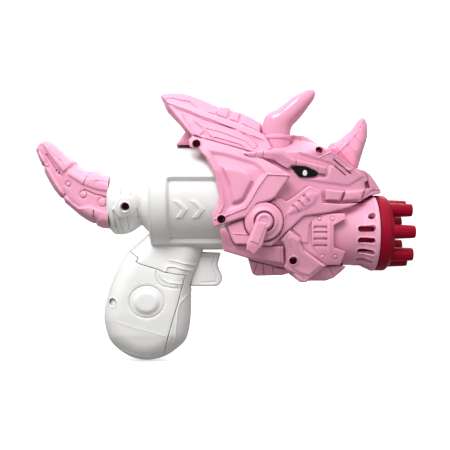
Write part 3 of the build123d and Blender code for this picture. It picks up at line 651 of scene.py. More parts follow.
window = rounded([wrapped(15.3, 40.2), wrapped(53.5, 40.2), wrapped(53.5, 84.0), wrapped(15.3, 84.0)], 3.2)
chevron = [(0, 13), (4.5, 13), (10.5, 6.5), (6, 0), (1.5, 0), (6, 6.5)]
barrel_details = [pad(window, -3.0, 1.9, 0.35)]
for start in (19.5, 30.5):
    barrel_details.append(pad([wrapped(start + x, 55.5 + z) for x, z in chevron], 0.45, 0.6, 0.15))
barrel_loop = unrolled(5.6, 58.2, BARREL_R)
barrel_details.append(rim(barrel_loop, 0.45))
barrel = panel(barrel_loop, lifted(level(BARREL_R), barrel_details), level(30.0), rows_of(barrel_details),
               step=2.2, under=6.0)
both("barrel", barrel, "body_shell_SIDE", "white_shell", round_about(BARREL_Z, BARREL_R))
back = arcs([(3.5, 12, 0), (3.5, 35.55, 2.2), (7.5, 35.55, 0), (7.5, 33, 0), (5.6, 33, 0), (5.6, 12, 0)], 5)
build("barrel_back", *lathe(back, BARREL_Z, count=120), as_is, False, "root", "body_shell_left",
      "white_shell")

COLLAR = [(-26, 18.3), (-25, 20), (-22.5, 22.3), (-17.5, 22.4), (-13, 21.3), (-8.5, 19), (-5, 15.8),
          (-3.5, 15.8), (0, 20.2), (4.2, 21.5)]
COLLAR_R, COLLAR_SEEN_R = 21.0, 21.5
collar_skin = softened(COLLAR, 0.4)


def on_collar(x, z):
    """A point seen from the side, laid on the unrolled collar."""
    return (x, COLLAR_R * math.asin(max(-1.0, min(1.0, (z - COLLAR_Z) / COLLAR_SEEN_R))))


collar_loop = unrolled(-26, 4.2, COLLAR_R)
flat = [on_collar(x, z) for x, z in ((-21.6, 63.2), (-17.2, 57.5), (-7.8, 58.2), (-5.4, 63.2), (-7.8, 71.5),
                                     (-17.2, 72.5))]
collar_details = [
    pad(flat, 1.3, 0.9, 0.2), *well(on_collar(*COLLAR_SCREW), 3.9, 0.5, 0.5, 2.9, 7.5),
    groove([(-20.2, -33), (-20.2, 33)], 0.9, 0.35), rim(collar_loop, 0.4)]
for start, end in (((-17.2, 57.2), (-15.8, 48.5)), ((-12.3, 57.4), (-12.0, 48)), ((-5.6, 62.6), (-5.2, 54)),
                   ((-20.8, 62.8), (-20.2, 51)), ((-16, 73), (-15, 86)), ((-9, 73), (-9.5, 84))):
    collar_details.append(groove([on_collar(*start), on_collar(*end)], 0.9, 0.55))
collar_rows = rows_of(collar_details) + [([(x, -33), (x, 33)], False) for x, _ in COLLAR]
collar = panel(collar_loop, lifted(collar_skin, collar_details),
               lambda p: np.minimum(collar_skin(p) - WALL, 17.0), collar_rows, step=1.6, under=4.0)
both("collar", collar, "body_shell_SIDE", "white_shell", round_about(COLLAR_Z, COLLAR_R))

GRIP_SIDE = [(3.0, 50.0), (1.4, 47), (-5.5, 41), (-12, 35), (-15.4, 31.5), (-19.6, 24.5), (-25.2, 12.6),
             (-28, 3.5), (-30.1, -5.6), (-30.5, -12.6), (-29.4, -18.2), (-27.3, -26), (-24.5, -30),
             (-21, -33.6), (-16, -37), (-10.5, -39.9), (-4.2, -41.3), (0, -41.6), (5, -41), (12, -39.2),
             (16.8, -36.4), (22.4, -32.2), (26.6, -28), (28.7, -21.7), (30.1, -12.6), (30.5, 0), (30.5, 9),
             (33, 18), (38, 29), (41, 40), (42, 50)]


def curve(line, step=1.2, rounds=2):
    """Corner-cut version of an open line."""
    for _ in range(rounds):
        out = [line[0]]
        for a, b in zip(line, line[1:]):
            out.append((0.75 * a[0] + 0.25 * b[0], 0.75 * a[1] + 0.25 * b[1]))
            out.append((0.25 * a[0] + 0.75 * b[0], 0.25 * a[1] + 0.75 * b[1]))
        line = out + [line[-1]]
    return dense(line, step)


grip_edge = curve(GRIP_SIDE)
grip_half = across([(13.5, -42), (15, -31), (16.8, -22), (17.5, -8), (17.5, 6), (17, 18), (16, 29), (15, 40),
                    (14, 50)])
GRIP_RADIUS = 13.0
grip_skin = swell(grip_edge, grip_half, GRIP_RADIUS)
grip_wall = parallel(grip_edge, WALL)
grip_inner = swell(grip_wall, raised(grip_half, -WALL), 11.5)


def grip_floor(p):
    """Inner surface of the grip, thicker beside the trigger's slot."""
    inner = np.where(within(p, grip_wall), grip_inner(p), 0)
    slot = (p[:, 0] > 27) & (p[:, 1] > 9.6) & (p[:, 1] < 34.4)
    return np.where(slot, np.maximum(inner, 7.2), inner)


SEAM = [(-12.5, 34.7), (-6.3, 31.2), (-5.1, 30.5), (-5.3, 28.8), (-6.3, 27.8), (-3.6, 26.1), (3.2, 24.1),
        (7.9, 22.7), (12, 21), (20, 19.3), (25.5, 18.7), (27.5, 18.3), (26.2, 15.3), (24.1, 7.2), (22.1, -1),
        (18.7, -11.8), (15.3, -24), (13, -33.4), (11.2, -40)]
FINGER = [
    groove([(13.8, 21.2), (14.5, 23.6), (15.8, 24.6), (19.9, 24.3), (25.3, 22.6), (30, 21.6), (33.5, 21.2)],
           1.2, -0.7),
    groove([(16.5, 28.7), (26.7, 26.3), (31.5, 25.3), (36.2, 26)], 1.1, -0.6),
    groove([(30.6, 6.6), (23.8, 0.4), (22.4, -3), (21, -16), (19.7, -27.6)], 1.0, -0.45),
    groove([(19.5, -33.5), (23, -31.5)], 0.9, 0.5)]
THUMB = [(7.2, 21.4), (7.2, 16.6), (8.6, 13.3), (12, 11.2), (18.7, 9.9), (24.6, 9.4)]
COVER_MARKS = [
    groove(circle(1.0, 0.6, 11.8, 56, 0.92), 1.1, 0.55, True),
    pad(circle(1.0, 0.6, 9.4, 48, 0.92), 1.9, 2.6, 0.7), groove(THUMB, 0.9, 0.5),
    groove([(9.9, 18.7), (11.3, 16), (15.3, 13.9), (23.5, 12.6), (25.2, 12.8)], 0.9, -0.45),
    groove([(-15.3, 22.3), (-18, 17.5), (-21.5, 9.3), (-24.2, 3.2)], 0.9, 0.4),
    groove([(-19.5, -12.8), (-7.3, -16.9), (2.9, -19.6), (12.5, -22.4)], 1.2, -0.14),
    groove([(-19.9, -31.7), (-11.6, -35.1), (-1.3, -37.9), (7.7, -38.6)], 1.0, -0.4),
    disc(-22.3, -0.1, 3.7, 0.4, 0.4), disc(-22.3, -0.1, 2.9, -2.6, 0.4)]


def grip_part(name, loop, details, side, node, floor=grip_floor, body="root"):
    details = details + [rim(loop, 0.5)]
    rows = swell_rows(grip_edge, GRIP_RADIUS) + rows_of(details)
    shape = panel(loop, at_least(lifted(grip_skin, details), 0), floor, rows, step=1.7, under=3.5)
    build(name, *shape, side_on(side), side == LEFT, body, node, "white_shell")


SEAM_END_X, SEAM_END_Z = 10.9, -39
SLOT_LOW, SLOT_STEP = 8.8, 1.25
COVER_TOP, BACK_LOW = 34.0, 35.2
low = next(i for i, q in enumerate(grip_edge) if q[1] < SEAM_END_Z and q[0] > SEAM_END_X)
front_edge = [q for q in parallel(grip_edge, SLOT_STEP)[low:] if q[1] > SLOT_LOW]
plain_edge = [q for q in grip_edge[low:] if q[1] <= SLOT_LOW]
back_edge = [q for q in grip_edge[:low] if q[1] > BACK_LOW]
front_loop = SEAM[-2::-1] + back_edge[::-1] + front_edge[::-1] + plain_edge[::-1]
cover_back = [q for q in parallel(grip_edge, 0.22)[:low] if q[1] < COVER_TOP]
cover_loop = parallel(SEAM, -0.3)[:-1] + [(11.2, -39.4)] + [q for q in cover_back if q[0] < 10.6][::-1]
grip_part("grip_right", front_loop, FINGER, RIGHT, "body_shell_right")
grip_part("battery_cover_skin", cover_loop, COVER_MARKS, RIGHT, "battery_cover", at_least(grip_floor, 3.0),
          "battery_cover")
left_loop = grip_edge[:low] + plain_edge + front_edge
grip_part("grip_left", left_loop, COVER_MARKS[:2] + FINGER + [groove(SEAM, 0.9, 0.5)], LEFT,
          "body_shell_left")


def tube_faces(rings, count, caps=True):
    """Faces of a tube made of rings with the same count of points."""
    faces = [[j * count + i, j * count + (i + 1) % count, (j + 1) * count + (i + 1) % count,
              (j + 1) * count + i] for j in range(rings - 1) for i in range(count)]
    if caps:
        faces += [list(range(count))[::-1], [(rings - 1) * count + i for i in range(count)]]
    return faces


def sweep(line, section):
    """Closed bar of (inward, y) section along an open line."""
    sides = [parallel(line, n) if n else [tuple(q) for q in line] for n, _ in section]
    verts = [(sides[k][i][0], section[k][1], sides[k][i][1]) for i in range(len(line))
             for k in range(len(section))]
    return verts, tube_faces(len(line), len(section))


spine_line = [q for q in grip_edge[:low + 1] if q[1] < 35]
spine = sweep(spine_line, [(0.02, -0.1), (0.05, -1.5), (0.19, -2.85), (2.2, -2.85), (2.2, -0.1)])
build("grip_spine", *spine, as_is, True, "root", "body_shell_right", "white_shell")

trigger_loop = rounded([(33.4, 33.8), (51, 33), (50.2, 30.5), (48.6, 25), (49.6, 21.5), (51.7, 17.5),
                        (52, 14), (50, 10.8), (46.5, 9.9), (29.6, 10), (31.2, 22)], 1.6)
spring_pocket = lambda p: (p[:, 0] < 46.5) & (np.abs(p[:, 1] - 20) < 7.5)
trigger_details = [
    rim(trigger_loop, 1.6),
    groove([(37.5, 31), (46.5, 30.2), (45, 25), (46, 20.5), (48, 16.5), (47.2, 13), (37.5, 12.8)], 0.8,
           0.35)]
trigger_shape = panel(trigger_loop, lifted(level(6.5), trigger_details),
                      lambda p: np.where(spring_pocket(p), 4.6, 0.0), rows_of(trigger_details), step=1.2,
                      under=0.9)
both("trigger", trigger_shape, "trigger", "white_shell", body="trigger")

SPRING_FIXED, SPRING_FREE, SPRING_Z = 27.6, 44.9, 22.0
COIL_R, WIRE_R, COILS, ROUND, WIRE_SIDES = 2.6, 0.45, 9, 28, 10
verts, faces = [], []
steps = COILS * ROUND
for i in range(steps + 1):
    turn = 2 * math.pi * i / ROUND
    x = SPRING_FIXED + WIRE_R + (SPRING_FREE - SPRING_FIXED - 2 * WIRE_R) * i / steps
    for k in range(WIRE_SIDES):
        a = 2 * math.pi * k / WIRE_SIDES
        r = COIL_R + WIRE_R * math.cos(a)
        verts.append((x + WIRE_R * math.sin(a), r * math.cos(turn), SPRING_Z + r * math.sin(turn)))
for i in range(steps):
    for k in range(WIRE_SIDES):
        n = (k + 1) % WIRE_SIDES
        faces.append([i * WIRE_SIDES + k, (i + 1) * WIRE_SIDES + k, (i + 1) * WIRE_SIDES + n,
                      i * WIRE_SIDES + n])
faces += [list(range(WIRE_SIDES)), [steps * WIRE_SIDES + k for k in range(WIRE_SIDES)][::-1]]
coil = build("trigger_coil", verts, faces, as_is, False, "root", "trigger_spring", "steel")
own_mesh(coil)

# ---------------------------------------------------------------- tail
TAIL_TOP = [(-25, 86.5), (-30, 87.5), (-33, 89.6), (-36.4, 90.3), (-40, 89.6), (-42, 90.3), (-45.5, 92.4),
            (-49, 94.2), (-49.7, 96.6), (-53.2, 98.7), (-57.4, 101.9), (-61.6, 105.7), (-65.8, 109.7),
            (-68.6, 110.7), (-72.1, 111), (-74.2, 110.3), (-77, 107.8), (-78.3, 105)]
TAIL_LOW = [(-77.4, 102.5), (-75.6, 98), (-73.7, 93.9), (-72.2, 93.3), (-72.1, 89.6), (-69.3, 84),
            (-65.1, 77), (-60.9, 71.8), (-58.4, 70.6), (-57.4, 67.8), (-53.2, 64.4), (-47.6, 59.5),
            (-42, 55.7), (-37.8, 53.6), (-35.7, 53.8), (-35, 51.8), (-31.5, 50.4), (-25, 49.7)]
tail_edge = TAIL_TOP + TAIL_LOW
tail_loop = ccw(tail_edge)
tail_half = lambda p: np.interp(p[:, 0], [-78, -70, -60, -50, -40, -25], [8.0, 10.5, 12.6, 14.6, 16.2, 17.6])
TAIL_RADIUS = 9.0
tail_swell = swell(tail_edge, tail_half, TAIL_RADIUS)


def tail_skin(p):
    return least(tail_swell(p), tail_half(p) - 0.6, 0.5)


TIP_PLATE = [(-80, 110), (-71.8, 107), (-67.7, 101.4), (-63.7, 96), (-59.6, 91.2), (-56.2, 87.2),
             (-49.4, 93.6), (-46.7, 93.3), (-46, 100), (-62, 115), (-80, 115)]
RAIL = [(-61.6, 83), (-58.2, 77.6), (-54.2, 72.2), (-50, 68), (-45.3, 64.7), (-42, 65), (-37.8, 66),
        (-31, 63), (-20, 61), (-20, 40), (-45, 46), (-65, 60), (-78, 84), (-77, 100), (-74, 104.5), (-69, 96),
        (-64.5, 88)]
SADDLE = [(-54.2, 86.8), (-50.1, 83.8), (-42.6, 79.3), (-36.5, 77), (-31, 75.3), (-20, 74), (-20, 98),
          (-38, 98), (-47.5, 92.8)]
tail_details = [
    pad(TIP_PLATE, 1.5, 1.4, 0.3), pad(RAIL, 1.6, 1.3, 0.3), pad(SADDLE, 1.1, 1.4, 0.3),
    groove([(-41.5, 76.4), (-34.4, 73.4), (-25.5, 71.1)], 1.4, 0.9),
    groove([(-37.8, 90), (-42, 79.7)], 1.0, 0.7),
    groove([(-68.6, 100.6), (-66, 96.5), (-61, 89.5), (-57.5, 86.2)], 1.9, 1.0),
    groove([(-73, 93.6), (-67.5, 92.6)], 0.9, 0.9), groove([(-58.4, 70.2), (-55.2, 73.4)], 0.9, 0.9),
    groove([(-35.7, 53), (-34.6, 62.5)], 0.9, 0.9),
    pad([(-34.6, 82.6), (-32.4, 87), (-20, 86), (-20, 80.6)], 0.9, 0.9),
    groove([(-60.5, 99), (-54.5, 92)], 0.7, 0.35), groove([(-71, 108), (-58, 97)], 0.7, -0.4)]
for x, z, r in ((-52.8, 80.4, 1.6), (-42.3, 73.2, 2.3), (-29, 68, 3.0), (-60.3, 88.9, 1.0)):
    tail_details += [disc(x, z, r + 0.9, -0.5, 0.4), dome(x, z, r, 1.0)]
tail_top = lifted(tail_skin, tail_details, lambda p: np.clip(gap(p, tail_edge) / 2.4, 0, 1))
tail = panel(tail_loop, at_least(tail_top, 0),
             lambda p: np.maximum(tail_skin(p) - 3.2, 0) * (depth(p, tail_loop) > 2.4),
             rows_of(tail_details) + swell_rows(tail_edge, TAIL_RADIUS), step=1.5, under=4.0)
both("tail", tail, "tail_half_SIDE", "pink_shell")

# ---------------------------------------------------------------- head
HEAD_LOOP = [(58.4, 106), (64, 110), (101, 112), (113, 108.5), (121, 104), (141.5, 91), (148, 89.6),
             (152.5, 87.2), (156.8, 82.2), (160.3, 77.3), (161.4, 75.2), (159.8, 73.9), (152.5, 72.5),
             (145, 68.3), (127, 66), (127, 26), (118, 25), (92, 24), (72, 29), (58.4, 35)]
head_details = [
    pad([(97.5, 103.5), (103.5, 98.7), (110, 96.6), (123, 93.2), (137, 87.2), (143, 91), (121, 105),
         (101, 113)], 0.9, 1.6),
    pad([(102.5, 82.7), (117, 80.2), (137, 78.2), (149, 85.5), (141, 90.5), (123.5, 92.3), (121.5, 85),
         (116, 84.5)], 0.8, 1.5),
    groove([(126.9, 95.4), (137.8, 87.2)], 1.3, 1.3), groove([(127.6, 91.2), (134.2, 86.0)], 1.2, 1.1),
    pad([(148.2, 81.4), (151.4, 83), (152.9, 77.8), (149.6, 76.8)], -3.0, 0.6),
    groove([(145.5, 68), (149, 76), (151.5, 83.5), (148.5, 89)], 1.0, 0.7),
    groove([(163, 76.4), (154.5, 75.6), (150.5, 72.8), (147, 68.6)], 0.9, 0.6),
    pad([(119.8, 76.4), (133.9, 75.2), (131.0, 68.2), (120.2, 68.6)], 3.0, 1.0),
    pad([(134.3, 75.2), (148.6, 76.6), (145.6, 69.2), (131.6, 68.2)], 2.4, 1.0),
    *well(HEAD_SCREW, 3.6, 0.4, 0.5, 2.7, 7.5),
    groove([(116.5, 97.2), (124.5, 101), (134.5, 94.5), (142, 88)], 0.8, -0.35)]
PANEL_W = [(106, 60.3), (97.2, 50), (103.5, 44.5), (103.5, 40.3), (109.2, 40.3), (109.8, 52), (115, 59)]
head_details.append(pad(PANEL_W, 0.8, 0.9))
head_rows = [([(x, 24), (x, 110)], False) for x in (84, 96, 122, 145)]
head_rows += [([(58.4, z), (126, z)], False) for z in (34, 48, 90, 100)]
head_details.append(rim(HEAD_LOOP, 0.6))
LOBES = [(111, 40), (111, 60), (133.5, 60.2), (133.8, 56.4), (125.8, 52.2), (125.8, 37.8), (133.8, 34.8),
         (131, 25.6), (119, 25.8)]
lobe_base = lambda p: 1.4 + np.sqrt(690 - 0.55 * (p[:, 1] - 46.9) ** 2) - 0.06 * (p[:, 0] - 118)
lobe_details = []
for z, tall in ((51.3, 1.7), (48.0, 1.1), (43.6, 1.3), (39.2, 1.1)):
    lobe_details.append(pad([(112.4, z - tall), (121.5, z - tall), (121.5, z + tall * 0.4),
                             (112.4, z + tall * 0.4)], -0.9, 0.5, 0.14))
lobe_details.append(groove([(123.3, 54.5), (123.3, 36)], 0.8, -0.4))
for x, z in ((116.5, 56.7), (125.2, 56.7), (118.7, 31.3), (127.2, 31.3)):
    lobe_details += [disc(x, z, 2.0, -0.4, 0.35), dome(x, z, 1.4, 0.8)]
side_piece("muzzle_plate", LOBES, lobe_base, lobe_details, "head_shell_SIDE", wall=3.0, step=1.4)
RIDGE = [(92, 106), (93, 114.4), (101, 114.9), (108, 114.4), (111.8, 112.8), (116.5, 108.8), (121, 104),
         (114, 101)]
twin_piece("head_ridge", RIDGE, lambda p: np.interp(p[:, 1], [101, 108, 114.5], [16, 9.0, 5.6]),
           [groove([(105.6, 115), (106, 106)], 0.9, 0.6), groove([(100.6, 115), (101, 106)], 0.9, 0.6)],
           "head_shell_right", 1.4, 1.4)
head = panel(HEAD_LOOP, at_least(lifted(head_skin, head_details), 0.3), closed_at(HEAD_LOOP, head_skin),
             head_rows + rows_of(head_details), under=4.0)
both("head", head, "head_shell_SIDE", "pink_shell")

BOSS = (79, 54.8)
CHEEK = [(54.5, 52), (59, 42), (60.5, 40), (84, 39), (87, 41.5), (105, 57.5), (107, 58.5), (122.5, 60.5),
         (137, 64), (143.5, 67.2), (129.5, 66.6), (118.6, 67.2), (117.4, 75.4), (109, 78.5), (97.5, 70),
         (94, 68), (90, 70), (86.5, 69.8), (83.7, 67.8), (74.8, 65.3), (67.8, 56.7), (63.5, 55.7)]
cheek_base = raised(lambda p: least(plan_skin(p), 33.9, 0.8), 2.6)
cheek_details = [
    pad([(92, 57.5), (96, 64.5), (110, 75.5), (117, 73.5), (113, 65.5), (103, 60.5)], 0.9, 2.4, 0.5),
    pad([(104.4, 71.9), (106.2, 72.6), (110.2, 68.2), (108.4, 66.4)], -0.8, 0.5, 0.14),
    pad([(100.9, 68.2), (102.6, 69.1), (106.7, 64.6), (105, 63.4)], -0.8, 0.5, 0.14),
    pad([(97.3, 65.2), (99, 66.1), (103.2, 61.1), (101.9, 59.9)], -0.8, 0.5, 0.14),
    groove([(86.5, 69.8), (93, 60), (90, 46)], 0.9, -0.5),
    groove([(60, 47), (72, 46), (84, 47), (92, 53.5)], 0.9, -0.5), disc(*BOSS, 13.3, -1.3, 0.6),
    disc(146.0, 66.5, 0.8, 0.3, 0.2)]
side_piece("cheek", CHEEK, cheek_base, cheek_details, "cheek_plate_SIDE", wall=2.4, radius=0.7)

BROW = [(66, 99), (78, 101), (90, 101.3), (92.5, 101), (99.5, 96), (109.5, 93.5), (120.5, 91), (120.5, 86),
        (116, 86.5), (113.5, 88.3), (107, 91), (97.5, 91.6), (95, 89.3), (90.5, 91.5), (86, 94.5), (78, 96),
        (70, 96.5)]
brow_line = [(67, 98.4), (78, 99.2), (90, 98.6), (97.5, 94.6), (109, 92.4), (120.5, 89.6)]
brow_base = raised(plan_skin, 3.0)
brow_rows = [(brow_line, False), (parallel(brow_line, 0.4), False), (parallel(brow_line, -0.4), False)]
brow_details = [
    Detail(lambda p: -1.1 * ramp(gap(p, brow_line), 0.2, 4.5, 0.2), brow_rows),
    groove([(74.2, 100), (73.6, 95)], 0.7, 0.5), groove([(79.2, 101), (78.2, 95)], 0.7, 0.5),
    groove([(100.5, 95.6), (100.5, 91)], 0.8, 0.7), groove([(115.3, 92.4), (115.3, 86)], 0.7, 0.5)]
side_piece("brow", BROW, brow_base, brow_details, "brow_plate_SIDE", wall=2.8, step=1.4)

EYE = curve([(97.5, 90.3), (99.5, 90.8), (103.5, 91), (110.5, 89.3), (114, 88), (115.6, 86), (113.5, 84.5),
             (108.5, 84), (103.5, 84), (101.8, 85), (99.5, 88), (97.5, 90.3)])[:-1]
side_piece("eye", EYE, lambda p: plan_skin(p) + 1.4 + 0.12 * np.clip(depth(p, ccw(EYE)), 0, 3), [],
           "eye_SIDE", "eye_black", 1.2, 0.5, 1.0)
# Painted highlight: a white spot on the black eye stands in for a reflection of the light.
HIGHLIGHT_SPOT = circle(106.4, 86.7, 1.6, 20, 1.2)
side_piece("eye_mark", HIGHLIGHT_SPOT, raised(plan_skin, 1.76), [], "eye_SIDE", "eye_black", 0.9, 0.15, 0.7)
for _, label in SIDES:
    bpy.data.objects[f"eye_mark_{label}"].data.materials[0] = eye_highlight_white

FRILL = [(30, 108), (32.5, 111), (38.5, 109.5), (67, 101), (78, 96), (96.5, 84.5), (94.5, 81.5), (86.5, 70.5),
         (83.5, 68.5), (74.5, 66), (67.5, 57.5), (63.5, 56.5), (47.5, 51), (46, 53), (45.5, 59.5), (49, 65),
         (50, 70.5), (48, 81.5), (45, 89.5), (41, 97), (37, 101.5), (31, 103.5)]
frill_base = across([(30.5, 113), (35, 100), (38.4, 88), (39, 70), (39, 48)])
frill_details = [
    pad([(50, 92), (57, 90.6), (68, 87.5), (70, 86), (72.5, 81), (66, 68.5), (61.5, 66), (58, 66.5),
         (56, 78.5)], 2.6, 2.0, 0.3),
    pad([(42.5, 101.2), (54, 99.2), (73, 93.4), (78.2, 89.6), (80.2, 85.8), (74.6, 77.2), (69.6, 69.6),
         (66.2, 65), (60.5, 62.6), (54.4, 60.6), (53.6, 66), (52.2, 75.5), (48.8, 86.8)], -1.5, 2.2, 0.3),
    groove([(39, 99.6), (43, 96.2), (48, 86.8), (51.5, 75.4), (53, 65.5), (50.3, 60.3)], 1.5, -0.8),
    groove([(54.5, 58.5), (60.5, 61), (67, 63.5), (70.5, 68.5), (75, 76.5), (81.2, 85.2), (95, 84.4)], 1.2,
           -0.7),
    groove([(47, 56.2), (54.5, 58.5)], 1.1, -0.5), *well(UPPER_FRILL_SCREW, 3.5, 0.4, 0.4, 2.7, 7.0),
    *well(LOWER_FRILL_SCREW, 3.5, 0.4, 0.4, 2.7, 7.0)]
side_piece("frill", FRILL, frill_base, frill_details, "frill_plate_SIDE", wall=3.0, radius=0.8, step=1.6)

WING = [(13.6, 137.6), (16.4, 131.5), (21, 125.5), (29.5, 115), (32.3, 111.4), (41, 109), (67, 101.8),
        (77, 99), (85.5, 103), (81, 113), (67.5, 119.6), (47, 127.0), (37, 131.0), (19, 138.0)]


def wing_base(p):
    z = p[:, 1] + 0.33 * (p[:, 0] - 32)
    return least(np.interp(z, [106, 112, 130, 140.5, 150], [33, 31, 20, 3.6, 3.4]), 32.5)


wing_details = [
    groove([(15.5, 134.5), (30.5, 129), (37, 126), (47, 122.5), (64, 115.5), (70.5, 113), (78.5, 110)], 1.5,
           -1.0),
    groove([(20.5, 130.5), (30.5, 127), (40.5, 122.5), (64, 115.5)], 1.0, 0.7),
    groove([(34, 121.5), (40.5, 116.5), (46, 110.3), (48, 110.7), (64, 106), (67, 104)], 1.3, -0.9),
    groove([(25.5, 126.5), (34, 112.5), (40.5, 108.8)], 1.2, -0.8),
    groove([(66.5, 114), (72, 111), (75.5, 105.5), (73, 103), (68.5, 107.5)], 1.0, -0.7),
    groove([(40.5, 116.5), (52, 113.5), (66.5, 108)], 1.0, 0.6),
    pad([(40, 115), (46.2, 109.6), (36, 111)], -0.9, 1.0)]
side_piece("wing", WING, wing_base, wing_details, "frill_wing_SIDE", radius=0.8, step=1.7,
           floor=at_least(raised(wing_base, -4.0), 0.4))

SPINE = [(20.5, 107.3), (28, 117.5), (13, 133), (10, 140), (11, 142), (13.5, 143), (18, 143.5), (24.5, 143.5),
         (29.5, 142.5), (36.5, 140), (43.5, 137), (49.5, 134), (52.5, 135), (56, 134.5), (58, 132.5),
         (63, 131), (66, 130), (71.5, 128), (77, 124.5), (79, 123.5), (79, 107.3)]
crest_details = [
    groove([(15, 137), (17.5, 140), (20, 139), (30, 137.5), (36.5, 131), (47, 128.5), (50.5, 132.5)], 1.2,
           -0.9),
    pad([(47.6, 127.5), (50.6, 134.2), (57.0, 134.4), (57.3, 131), (55.4, 124.8)], 1.6, 1.0),
    pad([(56.6, 124.3), (58.7, 132.3), (65.2, 130), (62.7, 122.2)], 1.6, 1.0),
    pad([(64.4, 121.6), (67, 129.6), (77, 124.5), (80, 121), (79, 114.6)], 1.6, 1.0),
    disc(13.2, 139.7, 2.8, 0.8, 0.8)]
crest_foot = [(8, 141), (19, 137.4), (37, 130.4), (47, 126.4), (67.5, 119), (81, 112.4)]
above_foot = lambda p: p[:, 1] - np.interp(p[:, 0], [q[0] for q in crest_foot], [q[1] for q in crest_foot])
crest_half = lambda p: np.interp(above_foot(p), [-14, 0, 2.5, 6, 11], [14, 14.0, 11.5, 8.5, 4.6])
twin_piece("crest_spine", SPINE, crest_half, crest_details, "crest", 1.4, 1.4)

CHIN = [(70.5, 28.6), (73, 19), (75, 18), (92.5, 18.5), (100, 20.5), (103.5, 14.5), (113.5, 14.5),
        (122, 14.5), (127.5, 16.5), (133, 21.5), (135.5, 24.5), (121, 24.5), (92, 23.5)]
chin_details = [
    groove([(76, 28), (73.4, 20)], 0.9, 0.7), groove([(79.4, 28), (80.2, 19.4)], 0.9, 0.7),
    groove([(86, 27), (86.6, 19.4)], 0.9, 0.7), groove([(124, 24), (128, 17)], 0.9, 0.6)]
twin_piece("chin", CHIN, lambda p: np.interp(p[:, 1], [13, 24, 28], [14.5, 18.5, 23]), chin_details,
           "chin_guard", 1.2, 1.5)

GUARD = [(91, 44), (96, 49), (103.5, 43.5), (103.5, 40.5), (105.5, 36.5), (120.5, 25.5), (110, 16.5),
         (108, 14.5), (103.5, 14.5), (101.5, 16), (98.5, 21), (95.5, 22), (93, 24.5), (94, 28), (93.5, 36),
         (92, 40.5), (89.5, 42.5)]
guard_base = across([(35, 50), (31, 36), (27, 24), (25, 13)])
guard_details = [
    pad([(96.5, 47), (102.4, 42.6), (102.4, 39.8), (105, 35.4), (118, 25.6), (109.5, 18.3), (104.5, 19.8),
         (100.5, 21.8), (97, 24.5), (97, 37), (94.6, 43.6)], 0.9, 1.2),
    *well(JAW_SCREW, 3.6, 0.5, 0.5, 2.7, 7.5), groove([(103.6, 39), (105.8, 34.4), (118, 25.2)], 0.9, -0.5),
    groove([(99.5, 20.6), (104, 18.9), (106.6, 16.5)], 0.9, 0.5)]
side_piece("jaw_guard", GUARD, guard_base, guard_details, "jaw_guard_SIDE", wall=3.0, radius=0.8, step=1.5)

COWL = [(50, 51), (53, 35.5), (69.5, 30.5), (92.5, 27), (92, 38.5), (84, 38.6), (60.3, 39.5), (54, 51)]
cowl_base = across([(37.4, 53), (37, 48), (32, 38), (28.5, 26)])
side_piece("cowl", COWL, cowl_base, [groove([(90.3, 44), (90.3, 24)], 0.9, 0.5)], "throat_cowl_SIDE",
           wall=2.4, radius=0.7, step=1.6)

boss_details = [disc(*BOSS, 9.6, 2.0, 1.7, 0.3, 48), disc(*BOSS, 6.9, -1.7, 1.1, 0.25, 40)]
side_piece("boss", circle(*BOSS, 12.4, 64), level(38.6), boss_details, "lever_boss_SIDE", radius=0.8,
           step=1.5, floor=level(34.0))
LEVER = rounded([(73.8, 56), (68, 41.5), (67.5, 36.5), (72.5, 32.7), (77.5, 38.6), (82.4, 54)], 1.0)
lever_details = [pad([(74.5, 55.4), (69.6, 42), (75.5, 39.6), (81, 53.4)], 0.7, 0.9)]
side_piece("lever", LEVER, lambda p: 42.9 - 1.6 * ramp(-p[:, 1], -39.5, -33, 0.5), lever_details,
           "side_lever_SIDE", radius=0.7, step=1.2, floor=level(39.2))
side_piece("lever_stud", circle(*BOSS, 5.5, 40), level(43.2), [disc(*BOSS, 3.4, -0.5, 0.5)],
           "side_lever_SIDE", radius=0.9, step=1.1, floor=level(37.0))


# ---------------------------------------------------------------- screws at the bottom of their wells
def screw(name, x, z, reach):
    """Cross-headed screw in the right side, with its head at a distance from the mid-plane."""
    loop = circle(x, z, 2.66, 28)
    cross = [groove([(x - 1.3, z), (x + 1.3, z)], 0.6, 0.6), groove([(x, z - 1.3), (x, z + 1.3)], 0.6, 0.6),
             rim(loop, 0.5)]
    shape = panel(loop, lifted(level(reach), cross), level(reach - 3.0), rows_of(cross), step=0.6, under=1.5)
    piece = build(name, *shape, side_on(RIGHT), False, "root", "shell_screws", "steel")
    # Painted shade: the screw gets the dark red of pink plastic in shadow at the bottom of its deep well, not
    # a screw's own colour.
    piece.data.materials[0] = well_shade_screw


for k, (place, reach) in enumerate(((COLLAR_SCREW, 18.6), (HEAD_SCREW, 15.4), (JAW_SCREW, 25.2),
                                    (UPPER_FRILL_SCREW, 30.4), (LOWER_FRILL_SCREW, 36.2))):
    screw(f"screw_{k + 1}", *place, reach)

# ---------------------------------------------------------------- horns
HORN = [(88.7, 110.0, 90, 9.5, 9.5), (88.7, 114.5, 88, 9.55, 9.5), (89.1, 119.2, 80, 9.75, 9.6),
        (90.6, 123.4, 73, 9.9, 9.5), (93.0, 125.9, 68, 9.1, 9.0), (96.3, 128.4, 62, 7.8, 8.2),
        (101.0, 132.3, 56.5, 7.0, 7.2), (105.5, 136.7, 57, 6.3, 6.3), (109.4, 140.0, 57, 5.1, 5.1),
        (111.6, 142.1, 58, 4.0, 4.0), (113.0, 143.5, 59, 2.7, 2.7), (113.8, 144.2, 60, 1.3, 1.3),
        (114.0, 144.4, 60, 0.3, 0.3)]


